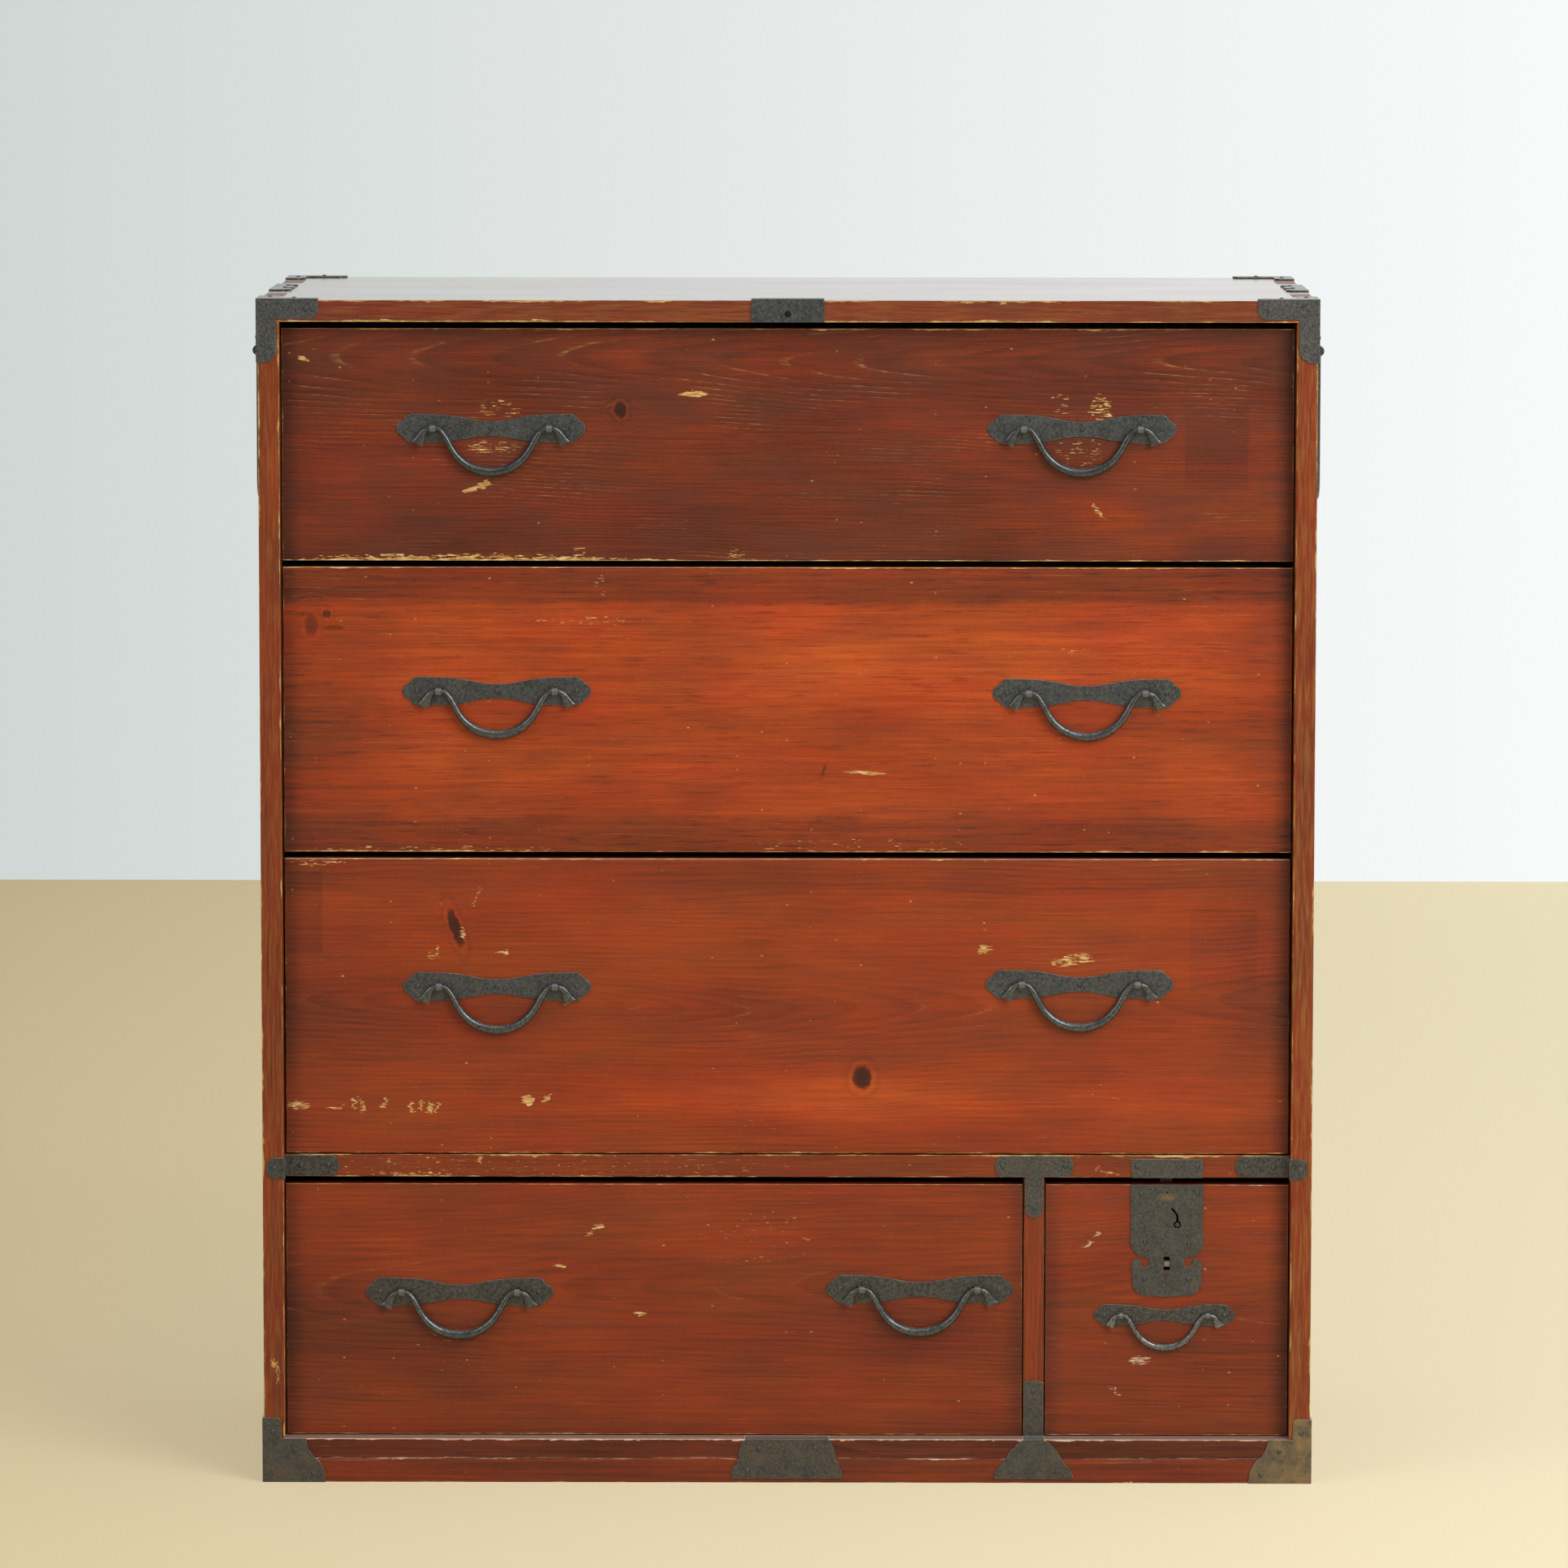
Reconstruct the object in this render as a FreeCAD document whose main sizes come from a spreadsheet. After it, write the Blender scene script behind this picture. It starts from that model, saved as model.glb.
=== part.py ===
import FreeCAD, Part
import math
import os
import re

import Sketcher
from FreeCAD import Placement, Rotation, Vector

# Driving sizes, in millimetres unless the name says angle or share
SIZES = {
    # Carcase
    "case_width": 850.0,
    "case_depth": 412.0,
    "side_thickness": 17.0,
    "top_thickness": 17.5,
    "bottom_thickness": 16.0,
    "plinth_height": 20.0,
    "plinth_depth": 28.0,
    "back_thickness": 8.0,
    "back_inset": 3.0,
    "groove_depth": 6.0,
    "rail_height": 18.5,
    "rail_depth": 42.0,
    "shelf_thickness": 10.0,
    "partition_share": 0.4917,
    "partition_thickness": 17.0,
    "runner_height": 12.0,
    "runner_width": 16.0,
    "drawer_recess": 16.0,
    # Drawers
    "lower_front_height": 206.0,
    "third_front_height": 241.0,
    "second_front_height": 231.0,
    "top_front_height": 187.0,
    "lower_gap": 5.7,
    "drawer_gap": 5.2,
    "top_gap": 5.9,
    "floor_gap": 1.0,
    "front_side_gap": 1.0,
    "front_thickness": 18.0,
    "wall_thickness": 10.0,
    "wall_side_gap": 1.5,
    "wall_drop": 9.0,
    "back_wall_drop": 12.0,
    "board_thickness": 7.0,
    "rabbet_depth": 9.0,
    "slide_gap": 0.3,
    "drawer_back_gap": 3.0,
    # Iron sheet and nails
    "iron_thickness": 1.4,
    "nail_head_radius": 2.1,
    "nail_crown_radius": 1.2,
    "nail_head_height": 0.9,
    "nail_shank_radius": 0.7,
    "nail_length": 6.5,
    # Drop handles
    "plate_length": 152.0,
    "plate_height": 23.4,
    "bow_radius": 36.0,
    "bow_drop": 35.0,
    "flank_angle": 60.0,
    "shoulder_radius": 5.0,
    "journal_length": 6.0,
    "journal_radius": 1.8,
    "flank_radius": 2.1,
    "bow_end_radius": 2.9,
    "bow_mid_radius": 3.8,
    "tail_reach": 13.0,
    "tail_half_width": 4.6,
    "tail_half_thickness": 0.9,
    "eye_clearance": 0.3,
    "eye_strip": 1.1,
    "eye_width": 4.6,
    "eye_stand": 4.4,
    "shank_height": 2.6,
    "clench_reach": 9.0,
    "pin_clearance": 0.1,
    "rest_gap": 0.4,
    "wide_handle_share": 1.0,
    "small_handle_share": 0.755,
    # Carry handles
    "carry_span": 212.0,
    "carry_drop": 121.0,
    "carry_down": 45.0,
    "carry_radius": 2.9,
    "carry_journal_out": 8.0,
    "carry_journal_in": 6.0,
    "carry_shoulder_radius": 7.0,
    "carry_bend_radius": 16.0,
    "carry_knob_radius": 4.2,
    "carry_knob_length": 3.0,
    "carry_stand": 6.1,
    "carry_blind": 3.0,
    # Corner irons and straps
    "corner_leg": 48.5,
    "corner_drop": 50.0,
    "corner_band": 15.0,
    "strap_length": 102.0,
    "strap_reach": 17.0,
    "strap_drop": 30.0,
    "foot_reach": 50.0,
    "foot_height": 53.0,
    "foot_band": 14.0,
    "centre_iron_top": 67.5,
    "centre_iron_foot": 89.6,
    "ledge_flange": 14.0,
    "rail_strap_length": 44.3,
    "rail_strap_margin": 0.75,
    "stile_strap_length": 13.8,
    "tee_width": 63.5,
    "tee_leg": 14.6,
    "tee_drop": 42.0,
    "heel_width": 16.2,
    "heel_height": 46.0,
    "heel_foot": 64.0,
    "edge_plate_width": 58.5,
    "edge_plate_flange": 16.0,
    "edge_plate_hole_radius": 2.7,
    "edge_plate_hole_depth": 12.0,
    "strike_width": 58.0,
    "strike_margin": 3.0,
    # Lock
    "lock_width": 59.2,
    "lock_height": 92.0,
    "lock_handle_gap": 6.3,
    "key_hole_radius": 3.1,
    "key_pin_radius": 1.8,
    "key_slot_width": 1.9,
    "key_slot_rise": 8.5,
    "key_slot_bend": 7.0,
    "slider_width": 4.4,
    "slider_height": 4.2,
    "slider_travel": 3.4,
    "slider_clearance": 0.3,
    "slider_stand": 1.2,
    "bolt_width": 10.0,
    "bolt_thickness": 5.0,
    "bolt_rise": 4.2,
    "bolt_tail": 6.0,
    "lock_case_depth": 8.0,
    "lock_case_wall": 1.5,
    "lock_case_margin": 4.0,
    "mortise_depth": 5.0,
    "key_across_share": 0.142,
    "key_down_share": 0.355,
    "slider_down_share": 0.702,
    "lost_nail_share": 0.067,
    # How far a cutting tool runs past the face that it cuts
    "overrun": 2.0,
}

# Places that follow from the sizes; each may use sizes and other places
PLACES = {
    "inner_half": "case_width / 2 - side_thickness",
    "partition_offset": "partition_share * inner_half",
    "left_x": "-case_width / 2",
    "front_y": "-case_depth / 2",
    "face_y": "front_y + drawer_recess",
    "front_back_y": "face_y + front_thickness",
    "wall_y": "front_back_y - rabbet_depth",
    "back_y": "case_depth / 2 - back_inset - back_thickness",
    "drawer_back_y": "back_y - drawer_back_gap",
    "ledge_z": "plinth_height + bottom_thickness",
    "lower_front_z": "ledge_z + floor_gap",
    "lower_top_z": "lower_front_z + lower_front_height",
    "rail_z": "lower_top_z + lower_gap",
    "rail_mid_z": "rail_z + rail_height / 2",
    "rail_strap_band": "rail_height - 2 * rail_strap_margin",
    "strike_rise": "rail_height / 2 - strike_margin",
    "rail_top_z": "rail_z + rail_height",
    "third_front_z": "rail_top_z + floor_gap",
    "second_front_z": "third_front_z + third_front_height + drawer_gap",
    "top_front_z": "second_front_z + second_front_height + drawer_gap",
    "top_under_z": "top_front_z + top_front_height + top_gap",
    "case_height": "top_under_z + top_thickness",
    "edge_plate_hole_z": "case_height - 0.62 * top_thickness",
    "finger": "case_depth / finger_count",
    "partition_left": "partition_offset - partition_thickness / 2",
    "partition_right": "partition_offset + partition_thickness / 2",
    "bow_end_x": "bow_radius * sin(flank_angle)",
    "bow_end_z": "bow_drop - bow_radius + bow_radius * cos(flank_angle)",
    "shoulder_fall": "shoulder_radius * (1 - cos(flank_angle))",
    "flank_length": "(bow_end_z - shoulder_fall) / sin(flank_angle)",
    "flank_end_x": "bow_end_x + flank_length * cos(flank_angle)",
    "shoulder_x": "flank_end_x + shoulder_radius * sin(flank_angle)",
    "eye_half": "shoulder_x + journal_length / 2",
    "tail_x": "shoulder_x + journal_length",
    "carry_leg": "carry_span / 2 - carry_journal_in - carry_shoulder_radius",
    "carry_end": "carry_span / 2 + carry_journal_out",
    "carry_x": "case_width / 2 + carry_stand",
    "carry_z": "case_height - carry_down",
    "lock_x": "(partition_right + inner_half) / 2",
    "key_x": "lock_x + lock_width * key_across_share",
    "key_z": "lower_top_z - lock_height * key_down_share",
    "slider_z": "lower_top_z - lock_height * slider_down_share",
    "lock_case_z": "lower_top_z - lock_height + lock_case_margin",
    "lock_case_width": "lock_width - 2 * lock_case_margin",
    "lock_case_height": "lock_height - 2 * lock_case_margin",
    "slider_slot": "slider_height + 2 * slider_travel + 2 * slider_clearance",
    "lock_handle_z": "lower_top_z - lock_height - lock_handle_gap - small_handle_share * plate_height / 2",
}

# Number of fingers in each joint between top and side
COUNTS = {"finger_count": 7}

# Drawers: left and right edge of the bay, lower edge and height of the front, underside of the bottom board
DRAWERS = {
    "top_drawer": ("-inner_half", "inner_half", "top_front_z", "top_front_height",
                   "top_front_z + runner_height + slide_gap"),
    "second_drawer": ("-inner_half", "inner_half", "second_front_z", "second_front_height",
                      "second_front_z + runner_height + slide_gap"),
    "third_drawer": ("-inner_half", "inner_half", "third_front_z", "third_front_height",
                     "rail_top_z + slide_gap"),
    "bottom_drawer": ("-inner_half", "partition_left", "lower_front_z", "lower_front_height",
                      "ledge_z + slide_gap"),
    "lock_drawer": ("partition_right", "inner_half", "lower_front_z", "lower_front_height",
                    "ledge_z + slide_gap"),
}

# Handles of each drawer: bail name and place, as shares of the bay's width and the front's height;
# the handle below the lock has no height of its own
HANDLE_SHARES = {
    "top_drawer": [("left_bail", 0.2075, 0.570), ("right_bail", 0.790, 0.569)],
    "second_drawer": [("left_bail", 0.2125, 0.565), ("right_bail", 0.796, 0.560)],
    "third_drawer": [("left_bail", 0.212, 0.566), ("right_bail", 0.790, 0.576)],
    "bottom_drawer": [("left_bail", 0.236, 0.569), ("right_bail", 0.8595, 0.582)],
    "lock_drawer": [("bail", 0.4915)],
}

# Right half of a handle plate from the bottom up, as shares of half its length and half its height;
# a third entry is a point that the arc to the next corner passes through
PLATE_SHARES = [
    (0.270, -0.72, (0.450, -0.90)),
    (0.640, -0.98),
    (0.800, -1.0, (0.893, -0.86)),
    (0.930, -0.55, (1.0, 0.0)),
    (0.930, 0.55, (0.893, 0.86)),
    (0.800, 1.0),
    (0.640, 0.98, (0.450, 0.90)),
    (0.270, 0.72),
]
WAIST_SHARE = 0.50
PLATE_NAIL_SHARES = (-0.85, 0.0, 0.85)

# Right half of the lock plate from the top corner down, as shares of half its width and of its height
LOCK_PLATE_SHARES = [
    (1.0, 0.0),
    (0.985, -0.44, (0.940, -0.57)),
    (0.660, -0.645, (0.475, -0.695)),
    (0.620, -0.735, (0.690, -0.705)),
    (0.710, -0.665, (0.880, -0.670)),
    (0.950, -0.760),
    (0.950, -0.870, (0.830, -0.955)),
]
LOCK_FOOT_SHARES = (0.45, -0.985, (0.0, -1.0))
LOCK_NAIL_SHARES = [
    (-0.71, -0.08),
    (0.82, -0.07),
    (-0.60, -0.51),
    (0.61, -0.525),
    (-0.61, -0.84),
    (0.60, -0.845),
]

# Bow of a bail on one side of its middle: turn as a share of the flank angle, radius between mid and end
BOW_SHARES = [(0.35, 0.12), (0.70, 0.50), (1.0, 1.0)]

# Tail of a bail: way along, way down, slope in degrees, flatness from 0 (round) to 1 (fishtail)
TAIL_SHARES = [(0.16, 0.05, 25.0, 0.10), (0.42, 0.36, 52.0, 0.45), (0.74, 0.92, 58.0, 1.0)]

# Inner edge of a strap on the top edge, as shares of its reach and of half its length
STRAP_SHARES = [
    (0.62, -1.0, (1.0, -0.80)),
    (0.66, -0.55, (0.52, -0.42)),
    (0.72, -0.32, (1.0, 0.0)),
    (0.72, 0.32, (0.52, 0.42)),
    (0.66, 0.55, (1.0, 0.80)),
    (0.62, 1.0),
]

NAME = re.compile(r"[a-z][a-z0-9_]*")
DOC = FreeCAD.newDocument("TansuChest")
SHEET = DOC.addObject("Spreadsheet::Sheet", "Sizes")
PIECES = []

ALONG_X = Rotation(Vector(0, 1, 0), 90)
ALONG_Y = Rotation(Vector(1, 0, 0), -90)
FACING = {
    "front": Rotation(Vector(1, 0, 0), 90),
    "left": Rotation(Vector(0, 1, 0), -90),
    "up": Rotation(),
}
PLANES = {"front": "XZ_Plane", "side": "YZ_Plane", "top": "XY_Plane"}


def fill_sheet():
    """Writes every driving size into the sheet under its own alias."""
    for row, (name, number) in enumerate({**SIZES, **COUNTS}.items(), 1):
        SHEET.set(f"A{row}", name)
        SHEET.set(f"B{row}", str(number))
        SHEET.setAlias(f"B{row}", name)
    DOC.recompute()


def spell(text):
    """Writes an expression with each named size looked up in the sheet."""

    def look_up(match):
        name = match[0]
        if name in PLACES:
            return f"({spell(PLACES[name])})"
        return f"Sizes.{name}" if name in SIZES or name in COUNTS else name

    return NAME.sub(look_up, text)


def value(text):
    """Works out an expression as a plain number."""
    found = SHEET.evalExpression(spell(text))
    return float(getattr(found, "Value", found))


def bind(item, prop, text):
    """Ties a property to an expression of named sizes."""
    item.setExpression(prop, spell(text))


def place(item, x, y, z, turn=Rotation()):
    """Turns an item and ties its position to three expressions."""
    item.Placement = Placement(Vector(), turn)
    for axis, text in zip("xyz", (x, y, z)):
        if text != "0":
            bind(item, f"Placement.Base.{axis}", text)


def piece(item, label):
    """Keeps an item as one of the chest's pieces, under its label."""
    item.Label = label
    PIECES.append(item)
    return item


def board(name, size, corner):
    """A rectangular board from its size and its lowest corner."""
    box = DOC.addObject("Part::Box", name)
    for prop, text in zip(("Length", "Width", "Height"), size):
        bind(box, prop, text)
    place(box, *corner)
    return box


def between(name, x, y, z):
    """A rectangular board from the lower and upper end along each axis."""
    size = [f"({upper}) - ({lower})" for lower, upper in (x, y, z)]
    return board(name, size, [lower for lower, _ in (x, y, z)])


def rod(name, radius, length, start, turn):
    """A round rod that runs from a start point along the turned Z axis."""
    cylinder = DOC.addObject("Part::Cylinder", name)
    bind(cylinder, "Radius", radius)
    bind(cylinder, "Height", length)
    place(cylinder, *start, turn)
    return cylinder


def group(name, items):
    """Several items kept side by side as one."""
    compound = DOC.addObject("Part::Compound", name)
    compound.Links = items
    return compound


def copy(name, source, x, y, z, turn=Rotation()):
    """A second instance of an item at its own place."""
    instance = group(name, [source])
    place(instance, x, y, z, turn)
    return instance


def join(name, items):
    """Several touching items as one solid."""
    fusion = DOC.addObject("Part::MultiFuse", name)
    fusion.Shapes = items
    return fusion


def cut(name, base, tools):
    """An item with one or more tools taken away."""
    result = DOC.addObject("Part::Cut", name)
    result.Base = base
    result.Tool = tools[0] if len(tools) == 1 else group(f"{name}_tools", tools)
    return result


def mirror(name, source, normal):
    """The mirror image of an item across a plane through the chest's centre line."""
    image = DOC.addObject("Part::Mirroring", name)
    image.Source = source
    image.Normal = normal
    return image


def arc_through(start, via, end):
    """An arc through three points and whether it runs clockwise from its start."""
    whole = Part.Arc(start, via, end).toShape().Curve
    centre = whole.Center
    clockwise = (via - start).cross(end - via).z < 0
    first, last = (end, start) if clockwise else (start, end)
    angles = [math.atan2(p.y - centre.y, p.x - centre.x) for p in (first, last)]
    circle = Part.Circle(centre, Vector(0, 0, 1), whole.Radius)
    return Part.ArcOfCircle(circle, *angles), clockwise


def pin_down(sketch, geometry, position, u, v):
    """Ties a point of a sketch to two expressions."""
    for kind, text in (("DistanceX", u), ("DistanceY", v)):
        rule = Sketcher.Constraint(kind, -1, 1, geometry, position, value(text))
        bind(sketch, f"Constraints[{sketch.addConstraint(rule)}]", text)


def draw(sketch, corners, closed=True):
    """Adds an outline of lines and arcs to a sketch and ties every corner to its expressions."""
    points = [Vector(value(c[0]), value(c[1]), 0) for c in corners]
    ends = []
    for i in range(len(corners) if closed else len(corners) - 1):
        start, end = points[i], points[(i + 1) % len(points)]
        if len(corners[i]) == 3:
            u, v = corners[i][2]
            via = Vector(value(u), value(v), 0)
            curve, clockwise = arc_through(start, via, end)
            index = sketch.addGeometry(curve)
            guide = sketch.addGeometry(Part.Point(via), True)
            pin_down(sketch, guide, 1, u, v)
            sketch.addConstraint(Sketcher.Constraint("PointOnObject", guide, 1, index))
            ends.append((index, 2, 1) if clockwise else (index, 1, 2))
        else:
            ends.append((sketch.addGeometry(Part.LineSegment(start, end)), 1, 2))
    for i, (index, first, last) in enumerate(ends):
        pin_down(sketch, index, first, *corners[i][:2])
        if closed or i + 1 < len(ends):
            following = ends[(i + 1) % len(ends)]
            sketch.addConstraint(Sketcher.Constraint("Coincident", index, last, following[0], following[1]))
    if not closed:
        pin_down(sketch, ends[-1][0], ends[-1][2], *corners[-1][:2])


def oblong(half_width, low, high):
    """Corners of an upright rectangle about the middle line."""
    return [(f"-({half_width})", low), (half_width, low), (half_width, high), (f"-({half_width})", high)]


def scaled(shares, width, height):
    """Corners of an outline from its shares of a width and a height."""

    def spread(share):
        return (f"{share[0]} * ({width})", f"{share[1]} * ({height})")

    return [spread(s) if len(s) == 2 else (*spread(s), spread(s[2])) for s in shares]


def body_at(name, x, y, z):
    """An empty body with its own origin at a place on the chest."""
    body = DOC.addObject("PartDesign::Body", name)
    place(body, x, y, z)
    return body


def sketch_on(body, side, offset="0"):
    """A sketch on one of the body's own planes, moved out along the plane's normal."""
    sketch = body.newObject("Sketcher::SketchObject", f"{body.Name}_{side}_outline")
    plane = next(f for f in body.Origin.OriginFeatures if f.Role == PLANES[side])
    sketch.AttachmentSupport = (plane, [""])
    sketch.MapMode = "FlatFace"
    if offset != "0":
        bind(sketch, "AttachmentOffset.Base.z", offset)
    return sketch


def flange(body, side, outlines, offset="0", backwards=False):
    """Adds a flat leaf of sheet iron to a body, with holes after its first outline."""
    sketch = sketch_on(body, side, offset)
    for outline in outlines:
        draw(sketch, outline)
    pad = body.newObject("PartDesign::Pad", f"{sketch.Name}_leaf")
    pad.Profile = sketch
    pad.Reversed = backwards
    bind(pad, "Length", "iron_thickness")
    DOC.recompute()


def mirrored_outline(right_half):
    """A whole outline from its right half, drawn from the top middle clockwise."""
    left_half = []
    for corner, before in zip(reversed(right_half), [*reversed(right_half[:-1]), None]):
        flipped = (f"-({corner[0]})", corner[1])
        if before and len(before) == 3:
            flipped = (*flipped, (f"-({before[2][0]})", before[2][1]))
        left_half.append(flipped)
    return right_half, left_half


def build_carcase():
    """Panels, rails and runners of the chest."""
    side = between("side_blank", ("left_x", "-inner_half"), ("front_y", "-front_y"), ("0", "case_height"))
    side_tools = [
        between("bottom_groove", ("-inner_half - groove_depth", "-inner_half + overrun"),
                ("front_y - overrun", "-front_y - back_inset"), ("plinth_height", "ledge_z")),
        between("rail_groove", ("-inner_half - groove_depth", "-inner_half + overrun"),
                ("face_y", "face_y + rail_depth"), ("rail_z", "rail_top_z")),
        between("shelf_groove", ("-inner_half - groove_depth", "-inner_half + overrun"),
                ("face_y + rail_depth", "back_y"), ("rail_top_z - shelf_thickness", "rail_top_z")),
    ]
    top_tools = []
    last = COUNTS["finger_count"] - 1
    for i in range(COUNTS["finger_count"]):
        start = f"front_y + {i} * finger" + (" - overrun" if i == 0 else "")
        end = f"front_y + {i + 1} * finger" + (" + overrun" if i == last else "")
        if i % 2 == 0:
            side_tools.append(between(f"side_socket_{i}", ("left_x - overrun", "-inner_half + overrun"),
                                      (start, end), ("top_under_z", "case_height + overrun")))
        else:
            for hand, x in (("left", ("left_x - overrun", "-inner_half")),
                            ("right", ("inner_half", "case_width / 2 + overrun"))):
                top_tools.append(between(f"{hand}_top_socket_{i}", x, (start, end),
                                         ("top_under_z - overrun", "case_height + overrun")))
    for n, y in (("front", "-carry_span / 2"), ("back", "carry_span / 2")):
        side_tools.append(between(f"carry_mortise_{n}",
                                  ("left_x - overrun", "-inner_half - carry_blind"),
                                  (f"{y} - eye_width / 2 - pin_clearance",
                                   f"{y} + eye_width / 2 + pin_clearance"),
                                  ("carry_z - shank_height / 2 - pin_clearance",
                                   "carry_z + shank_height / 2 + pin_clearance")))
    left = piece(cut("left_side", side, side_tools), "left_side_panel")
    piece(mirror("right_side", left, Vector(1, 0, 0)), "right_side_panel")
    top = between("top_blank", ("left_x", "-left_x"), ("front_y", "-front_y"), ("top_under_z", "case_height"))
    top_tools.append(rod("edge_plate_bore", "edge_plate_hole_radius", "edge_plate_hole_depth + overrun",
                         ("0", "front_y - overrun", "edge_plate_hole_z"), ALONG_Y))
    piece(cut("top", top, top_tools), "top_panel")

    grooved = ("-inner_half - groove_depth", "inner_half + groove_depth")
    bottom = between("bottom_blank", grooved, ("front_y", "-front_y - back_inset"),
                     ("plinth_height", "ledge_z"))
    lets = [
        between("centre_let", ("-centre_iron_top / 2", "centre_iron_top / 2"),
                ("front_y - overrun", "front_y + ledge_flange"),
                ("ledge_z - iron_thickness", "ledge_z + overrun")),
        between("heel_let", ("partition_offset - heel_width / 2", "partition_offset + heel_width / 2"),
                ("front_y - overrun", "face_y"), ("ledge_z - iron_thickness", "ledge_z + overrun")),
    ]
    piece(cut("bottom", bottom, lets), "bottom_panel")
    inside = ("-inner_half", "inner_half")
    plinths = [
        between("front_plinth", inside, ("front_y", "front_y + plinth_depth"), ("0", "plinth_height")),
        between("back_plinth", inside, ("-front_y - back_inset - plinth_depth", "-front_y - back_inset"),
                ("0", "plinth_height")),
    ]
    piece(group("plinths", plinths), "plinth_rails")
    planks = []
    for i in range(3):
        planks.append(between(f"back_plank_{i}",
                              (f"-inner_half + {i} * inner_half * 2 / 3",
                               f"-inner_half + {i + 1} * inner_half * 2 / 3"),
                              ("back_y", "back_y + back_thickness"), ("ledge_z", "top_under_z")))
    piece(group("back", planks), "back_boards")

    rail = between("rail_blank", grooved, ("face_y", "face_y + rail_depth"), ("rail_z", "rail_top_z"))
    mortise = between("bolt_mortise", ("lock_x - bolt_width", "lock_x + bolt_width"),
                      ("front_back_y - slider_clearance",
                       "front_back_y + bolt_thickness + 3 * slider_clearance"),
                      ("rail_z - overrun", "rail_z + mortise_depth"))
    piece(cut("rail", rail, [mortise]), "mid_rail")
    piece(between("shelf", grooved, ("face_y + rail_depth", "back_y"),
                  ("rail_top_z - shelf_thickness", "rail_top_z")), "mid_shelf")
    divider = between("partition_blank", ("partition_left", "partition_right"), ("face_y", "back_y"),
                      ("ledge_z", "rail_top_z - shelf_thickness"))
    housing = between("rail_housing", ("partition_left - overrun", "partition_right + overrun"),
                      ("face_y - overrun", "face_y + rail_depth"), ("rail_z", "rail_top_z"))
    piece(cut("divider", divider, [housing]), "partition")
    runners = []
    for level in ("second_front_z", "top_front_z"):
        for hand, x in (("left", ("-inner_half", "-inner_half + runner_width")),
                        ("right", ("inner_half - runner_width", "inner_half"))):
            runners.append(between(f"{hand}_runner_{level}", x, ("front_back_y + slide_gap", "back_y"),
                                   (level, f"{level} + runner_height")))
    piece(group("runners", runners), "drawer_runners")


def build_nail():
    """A forged nail, its head on the sheet iron and its shank in the wood."""
    head = DOC.addObject("Part::Cone", "nail_head")
    bind(head, "Radius1", "nail_head_radius")
    bind(head, "Radius2", "nail_crown_radius")
    bind(head, "Height", "nail_head_height")
    shank = rod("nail_shank", "nail_shank_radius", "nail_length", ("0", "0", "-nail_length"), Rotation())
    return join("nail", [head, shank])


def build_corner_irons():
    """The four irons on the top's corners."""
    leg, drop, band, sheet = "corner_leg", "corner_drop", "corner_band", "iron_thickness"
    iron = body_at("top_corner", "left_x", "front_y", "case_height")
    hanging = [
        (f"-{sheet}", sheet),
        (leg, sheet),
        (leg, f"-0.35 * {band}", (f"{leg} - 0.10 * {band}", f"-0.80 * {band}")),
        (f"{leg} - 0.45 * {band}", f"-{band}"),
        (band, f"-{band}"),
        (band, f"-0.84 * {drop}", (f"0.80 * {band}", f"-0.93 * {drop}")),
        (f"0.35 * {band}", f"-{drop}"),
        (f"-{sheet}", f"-{drop}"),
    ]
    lying = [
        (f"-{sheet}", f"-{sheet}"),
        (leg, f"-{sheet}"),
        (leg, f"0.35 * {band}", (f"{leg} - 0.10 * {band}", f"0.80 * {band}")),
        (f"{leg} - 0.45 * {band}", band),
        (band, band),
        (band, f"{leg} - 0.45 * {band}", (f"0.80 * {band}", f"{leg} - 0.10 * {band}")),
        (f"0.35 * {band}", leg),
        (f"-{sheet}", leg),
    ]
    flange(iron, "front", [hanging])
    flange(iron, "top", [lying])
    flange(iron, "side", [hanging], backwards=True)
    right = mirror("top_corner_right", iron, Vector(1, 0, 0))
    front = group("top_corners_front", [iron, right])
    back = mirror("top_corners_back", front, Vector(0, 1, 0))
    piece(group("top_corners", [front, back]), "top_corner_irons")


def build_edge_straps():
    """The scalloped straps over the middle of the top's two side edges."""
    strap = body_at("edge_strap", "left_x", "0", "case_height")
    half = "strap_length / 2"
    over = [("-iron_thickness", half), ("-iron_thickness", f"-{half}"),
            *scaled(STRAP_SHARES, "strap_reach", half)]
    down = []
    for corner in scaled(STRAP_SHARES, "strap_drop", half):
        turned = [(v, f"-({u})") for u, v in [corner[:2], *corner[2:]]]
        down.append(turned[0] if len(turned) == 1 else (*turned[0], turned[1]))
    down = [(half, "iron_thickness"), (f"-{half}", "iron_thickness"), *down]
    flange(strap, "top", [over])
    flange(strap, "side", [down], backwards=True)
    piece(group("edge_straps", [strap, mirror("edge_strap_right", strap, Vector(1, 0, 0))]), "top_edge_straps")


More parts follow.
